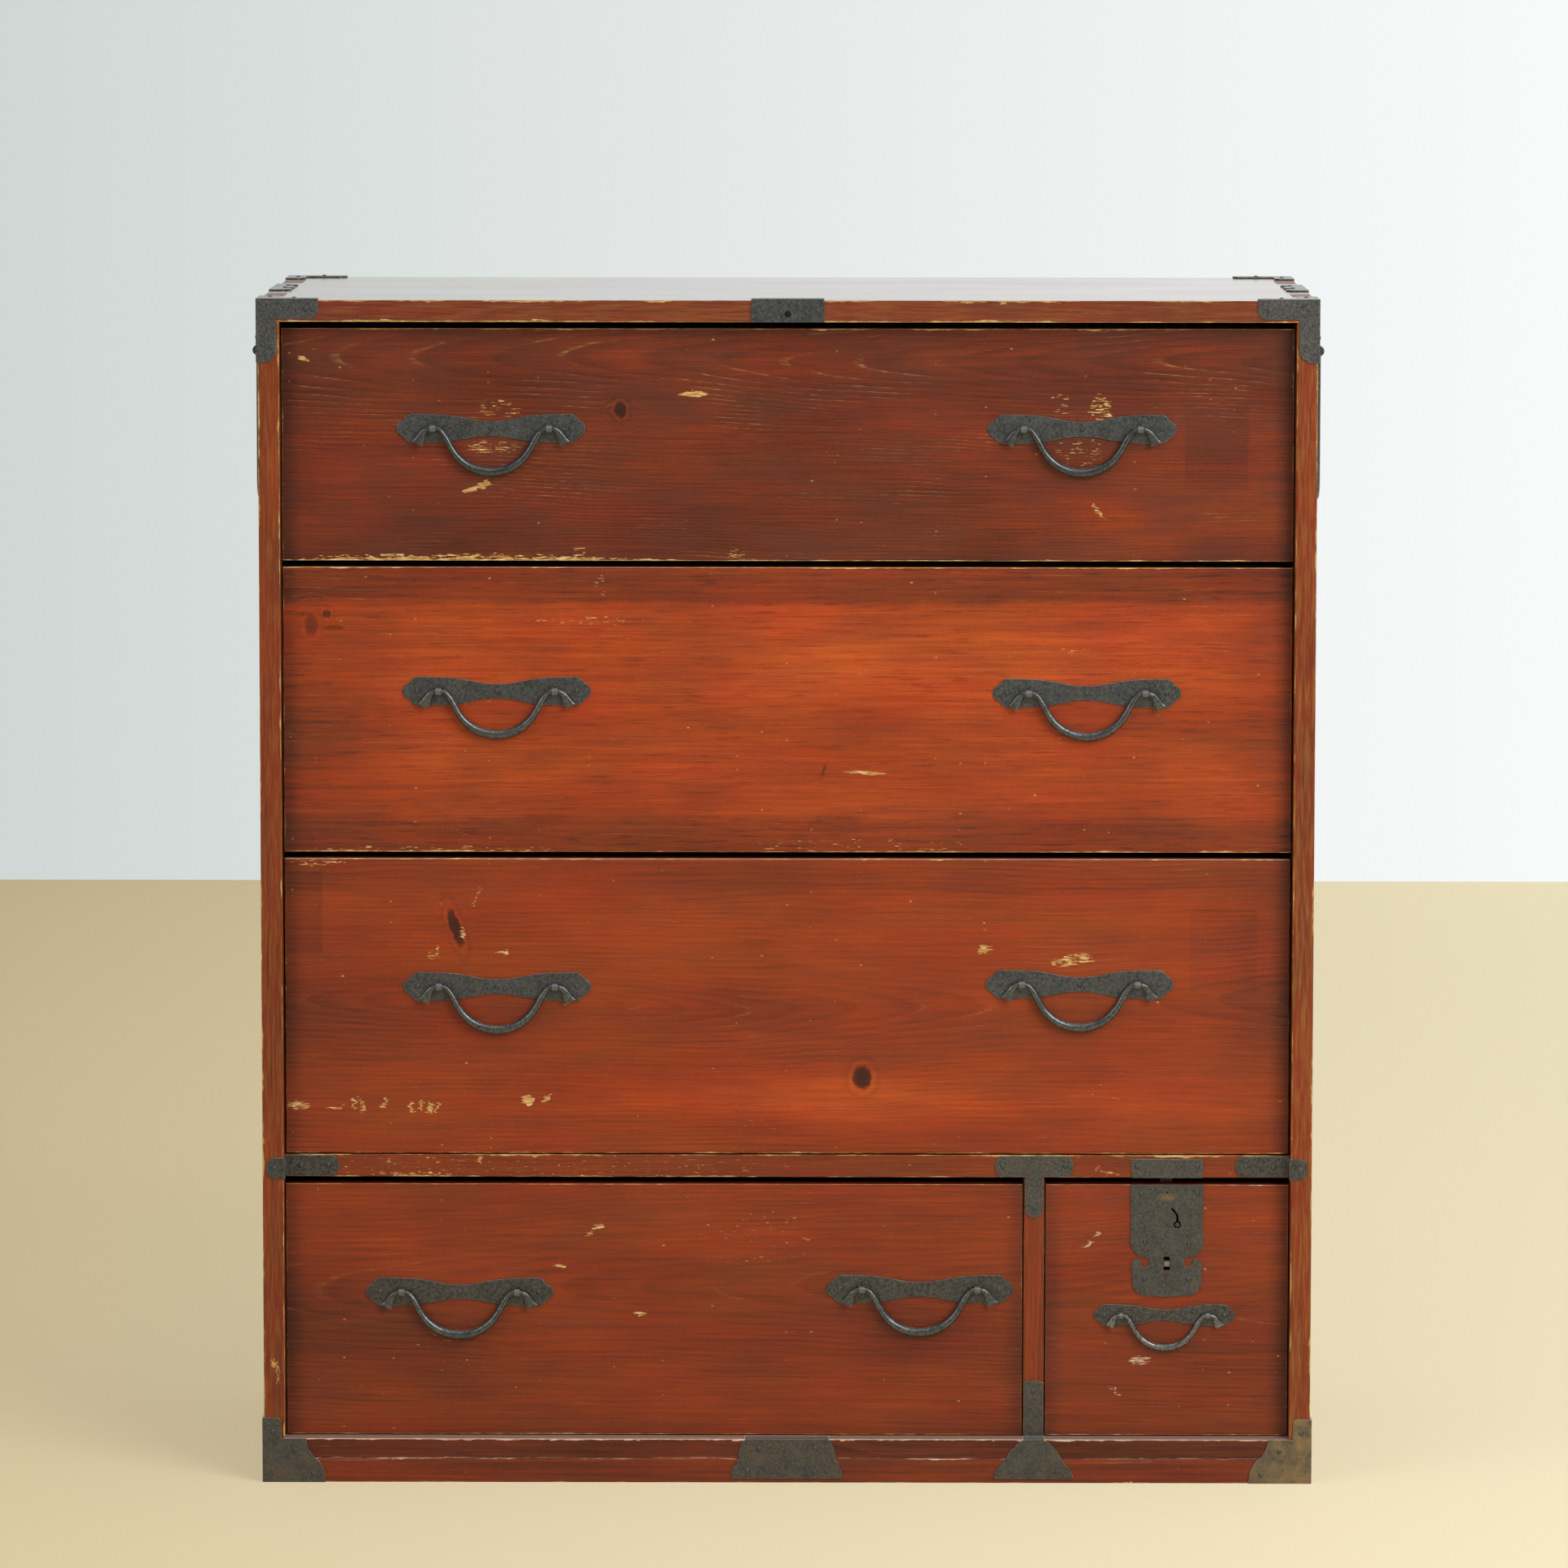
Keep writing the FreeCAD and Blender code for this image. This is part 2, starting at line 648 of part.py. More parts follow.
def build_base_irons():
    """The irons at the foot of the sides and in the middle of the base."""
    reach, band = "foot_reach", "foot_band"
    corner = body_at("base_corner", "left_x", "front_y", "0")
    outline = [
        ("-iron_thickness", "0"),
        (reach, "0"),
        (f"0.98 * {reach}", "0.22 * ledge_z", (f"0.925 * {reach}", "0.42 * ledge_z")),
        (f"0.83 * {reach}", "0.56 * ledge_z", (f"0.73 * {reach}", "0.74 * ledge_z")),
        (f"0.69 * {reach}", "ledge_z"),
        (band, "ledge_z"),
        (band, "0.90 * foot_height", (f"0.96 * {band}", "0.96 * foot_height")),
        (f"0.85 * {band}", "foot_height"),
        ("-iron_thickness", "foot_height"),
    ]
    flange(corner, "front", [outline])
    flange(corner, "side", [outline], backwards=True)
    piece(group("base_corners", [corner, mirror("base_corner_right", corner, Vector(1, 0, 0))]),
          "base_corner_irons")

    centre = body_at("base_centre", "0", "front_y", "ledge_z")
    top, foot = "centre_iron_top / 2", "centre_iron_foot / 2"
    right = [
        (top, "0", (f"{top} + 0.35 * ({foot} - {top})", "-0.17 * ledge_z")),
        (f"{top} + 0.50 * ({foot} - {top})", "-0.47 * ledge_z",
         (f"{top} + 0.86 * ({foot} - {top})", "-0.62 * ledge_z")),
        (foot, "-0.82 * ledge_z"),
        (foot, "-0.90 * ledge_z"),
    ]
    first, second = mirrored_outline(right)
    flange(centre, "front", [[*first, *second]])
    flange(centre, "top", [oblong(top, "-iron_thickness", "ledge_flange")], backwards=True)
    piece(centre, "base_centre_iron")


def build_rail_irons():
    """Straps at the ends of the mid rail, at its joint with the partition and at the partition's foot."""
    strap = body_at("rail_strap", "-inner_half", "face_y", "rail_mid_z")
    half = "rail_strap_band / 2"
    on_rail = [
        ("0", f"-{half}"),
        (f"rail_strap_length - 0.6 * {half}", f"-{half}", ("rail_strap_length", "0")),
        (f"rail_strap_length - 0.6 * {half}", half),
        ("0", half),
    ]
    on_stile = [
        ("iron_thickness", half),
        (f"-stile_strap_length + 0.5 * {half}", half, ("-stile_strap_length", "0")),
        (f"-stile_strap_length + 0.5 * {half}", f"-{half}"),
        ("iron_thickness", f"-{half}"),
    ]
    return_leaf = [
        ("-drawer_recess - iron_thickness", f"-{half}"),
        ("0", f"-{half}"),
        ("0", half),
        ("-drawer_recess - iron_thickness", half),
    ]
    flange(strap, "front", [on_rail])
    flange(strap, "side", [return_leaf])
    flange(strap, "front", [on_stile], offset="drawer_recess")
    piece(group("rail_straps", [strap, mirror("rail_strap_right", strap, Vector(1, 0, 0))]), "rail_end_straps")

    tee = body_at("tee", "partition_offset", "face_y", "rail_mid_z")
    arm, half, leg = "tee_width / 2", "rail_strap_band / 2", "tee_leg / 2"
    outline = [
        (f"{arm} - 0.5 * {half}", half),
        (f"-({arm} - 0.5 * {half})", half, (f"-({arm})", "0")),
        (f"-({arm} - 0.5 * {half})", f"-{half}"),
        (f"-{leg}", f"-{half}"),
        (f"-{leg}", f"-tee_drop + {leg}", ("0", "-tee_drop")),
        (leg, f"-tee_drop + {leg}"),
        (leg, f"-{half}"),
        (f"{arm} - 0.5 * {half}", f"-{half}", (arm, "0")),
    ]
    flange(tee, "front", [outline])
    piece(tee, "partition_t_strap")

    heel = body_at("heel", "partition_offset", "face_y", "ledge_z")
    half, foot = "heel_width / 2", "heel_foot / 2"
    upright = [
        (f"-{half}", "0"),
        (half, "0"),
        (half, f"heel_height - 0.3 * {half}", ("0", "heel_height")),
        (f"-{half}", f"heel_height - 0.3 * {half}"),
    ]
    slope = [
        (half, "0", (f"{half} + 0.41 * ({foot} - {half})", "-0.235 * ledge_z")),
        (f"{half} + 0.68 * ({foot} - {half})", "-0.53 * ledge_z",
         (f"{half} + 0.90 * ({foot} - {half})", "-0.68 * ledge_z")),
        (foot, "-0.84 * ledge_z"),
        (foot, "-0.90 * ledge_z"),
    ]
    first, second = mirrored_outline(slope)
    flange(heel, "front", [upright])
    flange(heel, "top", [oblong(half, "-drawer_recess - iron_thickness", "0")], backwards=True)
    flange(heel, "front", [[*first, *second]], offset="drawer_recess")
    piece(heel, "partition_foot_strap")


def build_edge_and_strike_plates():
    """The folded plate on the middle of the top's front edge and the strike plate above the lock."""
    plate = body_at("edge_plate", "0", "front_y", "case_height")
    half = "edge_plate_width / 2"
    flange(plate, "front", [oblong(half, "-top_thickness", "iron_thickness")])
    flange(plate, "top", [oblong(half, "-iron_thickness", "edge_plate_flange")])
    hole = rod("edge_plate_hole", "edge_plate_hole_radius", "iron_thickness + 2 * overrun",
               ("0", "front_y - iron_thickness - overrun", "edge_plate_hole_z"), ALONG_Y)
    piece(cut("pierced_edge_plate", plate, [hole]), "top_edge_plate")
    strike = body_at("strike", "lock_x", "face_y", "rail_mid_z")
    flange(strike, "front", [oblong("strike_width / 2", "-rail_height / 2", "strike_rise")])
    piece(strike, "strike_plate")


def build_carcase_nails(nail):
    """Nails through the irons of the carcase."""
    left = [
        ("front", "left_x + 0.50 * foot_band", "front_y", "0.78 * foot_height"),
        ("front", "left_x + 0.80 * foot_reach", "front_y", "0.35 * plinth_height"),
        ("front", "left_x + 0.50 * foot_reach", "front_y", "plinth_height + 0.4 * bottom_thickness"),
        ("front", "-inner_half + 0.80 * rail_strap_length", "face_y", "rail_mid_z"),
        ("front", "-inner_half + 0.30 * rail_strap_length", "face_y", "rail_mid_z"),
        ("front", "-inner_half - 0.55 * stile_strap_length", "front_y", "rail_mid_z"),
        ("front", "-0.36 * centre_iron_foot", "front_y", "0.50 * plinth_height"),
        ("front", "-0.34 * centre_iron_top", "front_y", "plinth_height + 0.5 * bottom_thickness"),
        ("front", "-0.42 * edge_plate_width", "front_y", "case_height - 0.5 * top_thickness"),
        ("left", "left_x", "front_y + 0.80 * foot_reach", "0.35 * plinth_height"),
        ("left", "left_x", "front_y + 0.45 * foot_band + 0.2 * foot_reach", "0.70 * plinth_height"),
        ("left", "left_x", "-0.38 * strap_length", "case_height - 0.36 * strap_drop"),
        ("left", "left_x", "0.38 * strap_length", "case_height - 0.36 * strap_drop"),
        ("up", "left_x + 0.60 * strap_reach", "-0.20 * strap_length", "case_height"),
        ("up", "left_x + 0.60 * strap_reach", "0.20 * strap_length", "case_height"),
    ]
    front_corner = [
        ("front", "left_x + 0.80 * corner_leg", "front_y", "case_height - 0.50 * corner_band"),
        ("front", "left_x + 0.50 * corner_band", "front_y", "case_height - 0.72 * corner_drop"),
        ("left", "left_x", "front_y + 0.78 * corner_leg", "case_height - 0.50 * corner_band"),
        ("left", "left_x", "front_y + 0.50 * corner_band", "case_height - 0.60 * corner_drop"),
        ("up", "left_x + 0.60 * corner_leg", "front_y + 0.55 * corner_band", "case_height"),
        ("up", "left_x + 0.55 * corner_band", "front_y + 0.60 * corner_leg", "case_height"),
    ]
    single = [
        ("front", "lock_x - 0.42 * strike_width", "face_y", "rail_mid_z"),
        ("front", "lock_x + 0.42 * strike_width", "face_y", "rail_mid_z"),
        ("front", "partition_offset - 0.40 * tee_width", "face_y", "rail_mid_z"),
        ("front", "partition_offset + 0.40 * tee_width", "face_y", "rail_mid_z"),
        ("front", "partition_offset", "face_y", "rail_mid_z - 0.80 * tee_drop"),
        ("front", "partition_offset", "face_y", "ledge_z + 0.80 * heel_height"),
        ("front", "partition_offset - 0.30 * heel_foot", "front_y", "0.50 * plinth_height"),
        ("front", "partition_offset + 0.30 * heel_foot", "front_y", "0.50 * plinth_height"),
    ]
    out = {"front": ("0", "-iron_thickness", "0"), "left": ("-iron_thickness", "0", "0"),
           "up": ("0", "0", "iron_thickness")}

    def drive(kind, places):
        """Drives one nail at each place, its head on the iron's face."""
        nails = []
        for i, (facing, *spot) in enumerate(places):
            spot = [f"{p} + {o}" if o != "0" else p for p, o in zip(spot, out[facing])]
            nails.append(copy(f"{kind}_nail_{i}", nail, *spot, FACING[facing]))
        return group(f"{kind}_nails", nails)

    corner = drive("front_corner", front_corner)
    back_corner = mirror("back_corner_nails", corner, Vector(0, 1, 0))
    one_side = group("side_nails", [drive("left", left), corner, back_corner])
    both = [one_side, mirror("right_nails", one_side, Vector(1, 0, 0)), drive("single", single)]
    piece(group("carcase_nail_group", both), "carcase_nails")


def build_eye(name, hole, size, stand, shank, clench):
    """A cotter eye: a ring about the X axis with its shank running back along Y."""
    width = f"{size} * eye_width"
    ring = rod(f"{name}_ring", f"{hole} + eye_strip", width, (f"-{width} / 2", "0", "0"), ALONG_X)
    bore = rod(f"{name}_bore", hole, f"{width} + 2 * overrun", (f"-{width} / 2 - overrun", "0", "0"), ALONG_X)
    parts = [
        cut(f"{name}_loop", ring, [bore]),
        between(f"{name}_shank", (f"-{width} / 2", f"{width} / 2"),
                (f"{hole} + eye_strip / 2", f"{stand} + {shank}"),
                (f"-{size} * shank_height / 2", f"{size} * shank_height / 2")),
    ]
    if clench:
        parts.append(between(f"{name}_clench", (f"-{width} / 2", f"{width} / 2"),
                             (f"{stand} + {shank}", f"{stand} + {shank} + eye_strip"),
                             (f"-{size} * clench_reach", f"{size} * clench_reach")))
    return join(name, parts)


def section(name, wide, thin, x, z, slope):
    """An oval cross-section of a bail, square to a path that falls to the right at a slope."""
    oval = DOC.addObject("Part::Ellipse", name)
    bind(oval, "MajorRadius", wide)
    bind(oval, "MinorRadius", thin)
    oval.Placement = Placement(Vector(), Rotation(Vector(0, 1, 0), 90 + slope))
    for axis, text in (("x", x), ("z", z)):
        bind(oval, f"Placement.Base.{axis}", text)
    return oval


def loft(name, sections):
    """A solid that runs smoothly through its sections."""
    solid = DOC.addObject("Part::Loft", name)
    solid.Sections = sections
    solid.Solid = True
    return solid


def build_bail(name, size):
    """A drop bail that hangs from the X axis: thick bow, round journals and fishtail ends."""
    angle = SIZES["flank_angle"]
    stations = [("shoulder_x", "0", "journal_radius", 0.0),
                ("flank_end_x + shoulder_radius * (sin(flank_angle) - sin(flank_angle / 2))",
                 "-shoulder_radius * (1 - cos(flank_angle / 2))", "journal_radius", 0.5),
                ("flank_end_x", "-shoulder_fall", "flank_radius", 1.0)]
    for turn, end in reversed(BOW_SHARES):
        stations.append((f"bow_radius * sin({turn} * flank_angle)",
                         f"-bow_drop + bow_radius * (1 - cos({turn} * flank_angle))",
                         f"bow_mid_radius + {end} * (bow_end_radius - bow_mid_radius)", turn))
    right, left = [], []
    for i, (x, z, radius, turn) in enumerate(stations):
        for hand, side, made in (("right", 1, right), ("left", -1, left)):
            made.append(section(f"{name}_{hand}_{i}", f"{size} * ({radius})", f"{size} * ({radius})",
                                f"{side} * {size} * ({x})", f"{size} * ({z})", -side * turn * angle))
    middle = section(f"{name}_middle", f"{size} * bow_mid_radius", f"{size} * bow_mid_radius",
                     "0", f"-{size} * bow_drop", 0.0)
    bow = loft(f"{name}_bow", [*left, middle, *reversed(right)])
    journal = rod(f"{name}_journal", f"{size} * journal_radius", f"{size} * journal_length",
                  (f"{size} * shoulder_x", "0", "0"), ALONG_X)
    tail = [section(f"{name}_tail_root", f"{size} * journal_radius", f"{size} * journal_radius",
                    f"{size} * tail_x", "0", 0.0)]
    for i, (along, down, slope, flat) in enumerate(TAIL_SHARES):
        wide = f"{size} * (journal_radius + {flat} * (tail_half_width - journal_radius))"
        thin = f"{size} * (journal_radius + {flat} * (tail_half_thickness - journal_radius))"
        tail.append(section(f"{name}_tail_{i}", wide, thin, f"{size} * (tail_x + {along} * tail_reach)",
                            f"-{size} * {down} * tail_reach", slope))
    end = join(f"{name}_end", [journal, loft(f"{name}_tail", tail)])
    return join(name, [bow, end, mirror(f"{name}_other_end", end, Vector(1, 0, 0))])


def build_handle_plate(name, size):
    """A waisted handle plate with a hole for each of its two cotter eyes."""
    plate = body_at(name, "0", "0", "0")
    half, tall = f"{size} * plate_length / 2", f"{size} * plate_height / 2"
    right, left = mirrored_outline(scaled(PLATE_SHARES, half, tall))
    right[-1] = (*right[-1], ("0", f"{WAIST_SHARE} * {tall}"))
    left[-1] = (*left[-1], ("0", f"-{WAIST_SHARE} * {tall}"))
    outlines = [[*right, *left]]
    for side in (-1, 1):
        x = f"{side} * {size} * eye_half"
        wide = f"({size} * eye_width / 2 + pin_clearance)"
        high = f"({size} * shank_height / 2 + pin_clearance)"
        outlines.append([(f"{x} - {wide}", f"-{high}"), (f"{x} + {wide}", f"-{high}"),
                         (f"{x} + {wide}", high), (f"{x} - {wide}", high)])
    flange(plate, "front", outlines)
    return plate


def build_drawer(name, handles, nail, lock_tools):
    """A drawer: front with rabbets, walls, bottom board, handle plates, eyes, nails and bails."""
    left, right, front_z, height, floor_z = DRAWERS[name]
    size = "small_handle_share" if lock_tools else "wide_handle_share"
    plate, eye, bail = handles[size]
    wall_top = f"{front_z} + {height} - wall_drop"
    floor_top = f"{floor_z} + board_thickness"
    outer = (f"{left} + wall_side_gap", f"{right} - wall_side_gap")
    inner = (f"{outer[0]} + wall_thickness", f"{outer[1]} - wall_thickness")

    blank = between(f"{name}_blank", (f"{left} + front_side_gap", f"{right} - front_side_gap"),
                    ("face_y", "front_back_y"), (front_z, f"{front_z} + {height}"))
    rabbet = ("wall_y", "front_back_y + overrun")
    tools = [
        between(f"{name}_left_rabbet", (f"{left} - overrun", inner[0]), rabbet, (floor_top, wall_top)),
        between(f"{name}_right_rabbet", (inner[1], f"{right} + overrun"), rabbet, (floor_top, wall_top)),
        between(f"{name}_floor_rabbet", (f"{left} - overrun", f"{right} + overrun"), rabbet,
                (floor_z, floor_top)),
        *lock_tools,
    ]
    plates, pins, bails = [], [], []
    for n, (bail_name, across, *up) in enumerate(HANDLE_SHARES[name]):
        x = f"{left} + {across} * ({right} - ({left}))"
        z = f"{front_z} + {up[0]} * {height}" if up else "lock_handle_z"
        axis_y = f"face_y - iron_thickness - {size} * eye_stand"
        plates.append(copy(f"{name}_plate_{n}", plate, x, "face_y", z))
        for side in (-1, 1):
            pin_x = f"{x} + {side} * {size} * eye_half"
            wide = f"({size} * eye_width / 2 + pin_clearance)"
            high = f"({size} * shank_height / 2 + pin_clearance)"
            tools.append(between(f"{name}_pin_hole_{n}_{side + 1}", (f"{pin_x} - {wide}", f"{pin_x} + {wide}"),
                                 ("face_y - overrun", "front_back_y + overrun"),
                                 (f"{z} - {high}", f"{z} + {high}")))
            pins.append(copy(f"{name}_eye_{n}_{side + 1}", eye, pin_x, axis_y, z))
        for i, share in enumerate(PLATE_NAIL_SHARES):
            pins.append(copy(f"{name}_nail_{n}_{i}", nail, f"{x} + {share} * {size} * plate_length / 2",
                             "face_y - iron_thickness", z, FACING["front"]))
        hung = copy(f"{name}_bail_{n}", bail, x, axis_y, z, Rotation(Vector(1, 0, 0), 1))
        bind(hung, "Placement.Rotation.Angle",
             f"asin((iron_thickness + {size} * (eye_stand - bow_mid_radius) - rest_gap) / ({size} * bow_drop))")
        bails.append((hung, f"{name}_{bail_name}"))
    if lock_tools:
        for i, (across, down) in enumerate(LOCK_NAIL_SHARES):
            pins.append(copy(f"lock_nail_{i}", nail, f"lock_x + {across} * lock_width / 2",
                             "face_y - iron_thickness", f"lower_top_z + {down} * lock_height", FACING["front"]))
    piece(cut(f"{name}_face", blank, tools), f"{name}_front")
    walls = [
        between(f"{name}_left_wall", (outer[0], inner[0]), ("wall_y", "drawer_back_y"), (floor_top, wall_top)),
        between(f"{name}_right_wall", (inner[1], outer[1]), ("wall_y", "drawer_back_y"), (floor_top, wall_top)),
        between(f"{name}_back_wall", inner, ("drawer_back_y - wall_thickness", "drawer_back_y"),
                (floor_top, f"{wall_top} - back_wall_drop")),
    ]
    piece(group(f"{name}_box", walls), f"{name}_walls")
    piece(between(f"{name}_board", outer, ("wall_y", "drawer_back_y"), (floor_z, floor_top)), f"{name}_bottom")
    piece(group(f"{name}_plate_group", plates), f"{name}_handle_plates")
    piece(group(f"{name}_pin_group", pins), f"{name}_handle_pins")
    for hung, label in bails:
        piece(hung, label)


def build_lock():
    """Lock plate, lock case and bolt; returns the holes that the drawer front needs for them."""
    half = "lock_width / 2"
    right = scaled([*LOCK_PLATE_SHARES, LOCK_FOOT_SHARES[:2]], half, "lock_height")
    first, second = mirrored_outline(right)
    foot = (*first[-1][:2], tuple(f"{s} * lock_height" for s in LOCK_FOOT_SHARES[2]))
    sheet = body_at("lock_sheet", "lock_x", "face_y", "lower_top_z")
    flange(sheet, "front", [[*first[:-1], foot, *second]])
    through = ("face_y - iron_thickness - overrun", "front_back_y + overrun")
    slot = between("slider_slot_tool",
                   ("lock_x - slider_width / 2 - slider_clearance",
                    "lock_x + slider_width / 2 + slider_clearance"),
                   through, ("slider_z - slider_slot / 2", "slider_z + slider_slot / 2"))
    barrel = rod("key_barrel", "key_hole_radius", f"{through[1]} - ({through[0]})",
                 ("key_x", through[0], "key_z"), ALONG_Y)
    rise = between("key_rise", ("key_x - key_slot_width / 2", "key_x + key_slot_width / 2"), through,
                   ("key_z", "key_z + key_slot_rise"))
    bend = board("key_bend", ("key_slot_width", f"{through[1]} - ({through[0]})", "key_slot_bend"),
                 ("key_x - key_slot_width / 2", through[0], "key_z + key_slot_rise - key_slot_width / 2"))
    bend.Placement.Rotation = Rotation(Vector(0, 1, 0), -40)
    lost_nail = rod("lost_nail_hole", "nail_shank_radius", "nail_length + overrun",
                    ("lock_x", through[0], "lower_top_z - lost_nail_share * lock_height"), ALONG_Y)
    holes = [slot, join("keyhole", [barrel, rise, bend]), lost_nail]
    piece(cut("lock_sheet_pierced", sheet, holes), "lock_plate")

    wide = ("lock_x - lock_case_width / 2", "lock_x + lock_case_width / 2")
    outer = between("lock_case_outer", wide,
                    ("front_back_y", "front_back_y + lock_case_depth + lock_case_wall"),
                    ("lock_case_z", "lock_case_z + lock_case_height"))
    hollow = between("lock_case_hollow",
                     (f"{wide[0]} + lock_case_wall", f"{wide[1]} - lock_case_wall"),
                     ("front_back_y - overrun", "front_back_y + lock_case_depth"),
                     ("lock_case_z + lock_case_wall", "lock_case_z + lock_case_height - lock_case_wall"))
    gate = between("bolt_gate",
                   ("lock_x - bolt_width / 2 - slider_clearance", "lock_x + bolt_width / 2 + slider_clearance"),
                   ("front_back_y - overrun", "front_back_y + bolt_thickness + 2 * slider_clearance"),
                   ("lock_case_z + lock_case_height / 2", "lock_case_z + lock_case_height + overrun"))
    post = rod("key_post", "key_pin_radius", "iron_thickness + front_thickness + lock_case_depth",
               ("key_x", "face_y - iron_thickness", "key_z"), ALONG_Y)
    piece(join("lock_case_with_post", [cut("lock_case_box", outer, [hollow, gate]), post]), "lock_case")

    bar = between("bolt_bar", ("lock_x - bolt_width / 2", "lock_x + bolt_width / 2"),
                  ("front_back_y + slider_clearance", "front_back_y + slider_clearance + bolt_thickness"),
                  ("slider_z - slider_height / 2 - bolt_tail", "lower_top_z + bolt_rise"))
    button = between("bolt_button", ("lock_x - slider_width / 2", "lock_x + slider_width / 2"),
                     ("face_y - iron_thickness - slider_stand", "front_back_y + slider_clearance"),
                     ("slider_z - slider_height / 2", "slider_z + slider_height / 2"))
    piece(join("bolt_with_button", [bar, button]), "lock_bolt")
    return holes


def build_carry_handles():
    """The two handles on the sides, and the eyes that they swing in."""
    grip = body_at("carry_grip", "0", "0", "0")
    path = sketch_on(grip, "side")
    bend, shoulder = "carry_bend_radius", "carry_shoulder_radius"
    half = [
        ("carry_end", "0"),
        (f"carry_leg + {shoulder}", "0",
         (f"carry_leg + {shoulder} * (1 - sin(45))", f"-{shoulder} * (1 - cos(45))")),
        ("carry_leg", f"-{shoulder}"),
        ("carry_leg", f"-carry_drop + {bend}",
         (f"carry_leg - {bend} * (1 - cos(45))", f"-carry_drop + {bend} * (1 - sin(45))")),
        (f"carry_leg - {bend}", "-carry_drop"),
    ]
    first, second = mirrored_outline(half)
    draw(path, [*first, *second], closed=False)
    ring = sketch_on(grip, "front", offset="-carry_end")
    circle = ring.addGeometry(Part.Circle(Vector(), Vector(0, 0, 1), value("carry_radius")))
    ring.addConstraint(Sketcher.Constraint("Coincident", circle, 3, -1, 1))
    rule = ring.addConstraint(Sketcher.Constraint("Radius", circle, value("carry_radius")))
    bind(ring, f"Constraints[{rule}]", "carry_radius")
    DOC.recompute()
    pipe = grip.newObject("PartDesign::AdditivePipe", "carry_rod")
    pipe.Profile = ring
    pipe.Spine = (path, [f"Edge{i + 1}" for i in range(len(path.Shape.Edges))])
    DOC.recompute()
    knobs = [rod("carry_knob_front", "carry_knob_radius", "carry_knob_length",
                 ("0", "-carry_end - carry_knob_length", "0"), ALONG_Y),
             rod("carry_knob_back", "carry_knob_radius", "carry_knob_length", ("0", "carry_end", "0"), ALONG_Y)]
    handle = join("carry_handle", [grip, *knobs])
    eye = build_eye("carry_eye", "carry_radius + eye_clearance", "wide_handle_share", "carry_stand",
                    "side_thickness - carry_blind", False)
    eyes = []
    for hand, x, turn in (("left", "-carry_x", -90), ("right", "carry_x", 90)):
        for n, y in enumerate(("-carry_span / 2", "carry_span / 2")):
            eyes.append(copy(f"{hand}_carry_eye_{n}", eye, x, y, "carry_z", Rotation(Vector(0, 0, 1), turn)))
        piece(copy(f"{hand}_carry", handle, x, "0", "carry_z"), f"{hand}_carry_handle")
    piece(group("carry_eyes", eyes), "carry_handle_eyes")


def write_pieces():
    """Checks every object and every piece, then writes each piece to its own file."""
    DOC.recompute()
    faults = [o.Name for o in DOC.Objects if {"Invalid", "Error"} & set(o.State)]
    faults += [p.Label for p in PIECES if p.Shape.isNull() or not p.Shape.isValid() or not p.Shape.Solids]
    if faults:
        raise RuntimeError("not built: " + ", ".join(faults))
    os.makedirs("parts", exist_ok=True)
    for item in PIECES:
        item.Shape.exportStep(f"parts/{item.Label}.step")
    print(len(PIECES), "pieces written")


fill_sheet()
build_carcase()
nail = build_nail()
build_corner_irons()
build_edge_straps()
build_base_irons()
build_rail_irons()
build_edge_and_strike_plates()
build_carcase_nails(nail)
build_carry_handles()
handles = {}
for kind in ("wide", "small"):
    size = f"{kind}_handle_share"
    handles[size] = (
        build_handle_plate(f"{kind}_plate", size),
        build_eye(f"{kind}_eye", f"{size} * journal_radius + eye_clearance", size, f"{size} * eye_stand",
                  "iron_thickness + front_thickness", True),
        build_bail(f"{kind}_bail", size),
    )
lock_tools = build_lock()
for name in DRAWERS:
    build_drawer(name, handles, nail, lock_tools if name == "lock_drawer" else [])
write_pieces()
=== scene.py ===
"""A five-drawer clothing chest: lacquered cedar boards, blackened sheet irons, forged handles and a lock."""

import logging
import math
from dataclasses import dataclass
from enum import Enum
from functools import cached_property
from typing import Iterable, Mapping, Sequence

import bmesh
import bpy
from mathutils import Matrix, Vector


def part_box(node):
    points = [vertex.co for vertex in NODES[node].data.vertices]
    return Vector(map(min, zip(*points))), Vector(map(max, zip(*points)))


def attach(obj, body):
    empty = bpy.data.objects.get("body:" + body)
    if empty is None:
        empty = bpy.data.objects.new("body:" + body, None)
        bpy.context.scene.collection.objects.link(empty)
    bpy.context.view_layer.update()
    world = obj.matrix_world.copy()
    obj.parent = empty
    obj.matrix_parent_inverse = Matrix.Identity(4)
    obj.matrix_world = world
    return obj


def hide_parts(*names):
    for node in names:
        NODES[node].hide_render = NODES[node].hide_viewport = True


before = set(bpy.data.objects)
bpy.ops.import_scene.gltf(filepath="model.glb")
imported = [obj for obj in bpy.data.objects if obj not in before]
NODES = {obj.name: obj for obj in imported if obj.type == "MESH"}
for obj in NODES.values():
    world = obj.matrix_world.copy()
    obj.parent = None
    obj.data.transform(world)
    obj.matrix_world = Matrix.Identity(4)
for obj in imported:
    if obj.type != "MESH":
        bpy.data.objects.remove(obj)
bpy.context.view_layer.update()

LOG = logging.getLogger("tansu_chest")
MM = 0.001

Material = bpy.types.Material
Socket = bpy.types.NodeSocket
Colour = tuple[float, float, float, float]
Shade = str | float | Colour
Feeds = Sequence[object] | Mapping[str | int, object]

# A mix of two colours: the sockets of the colours, then the kind and socket of the result
MIX_A, MIX_B = 6, 7
MIXED = {"data_type": "RGBA", "out": 2}

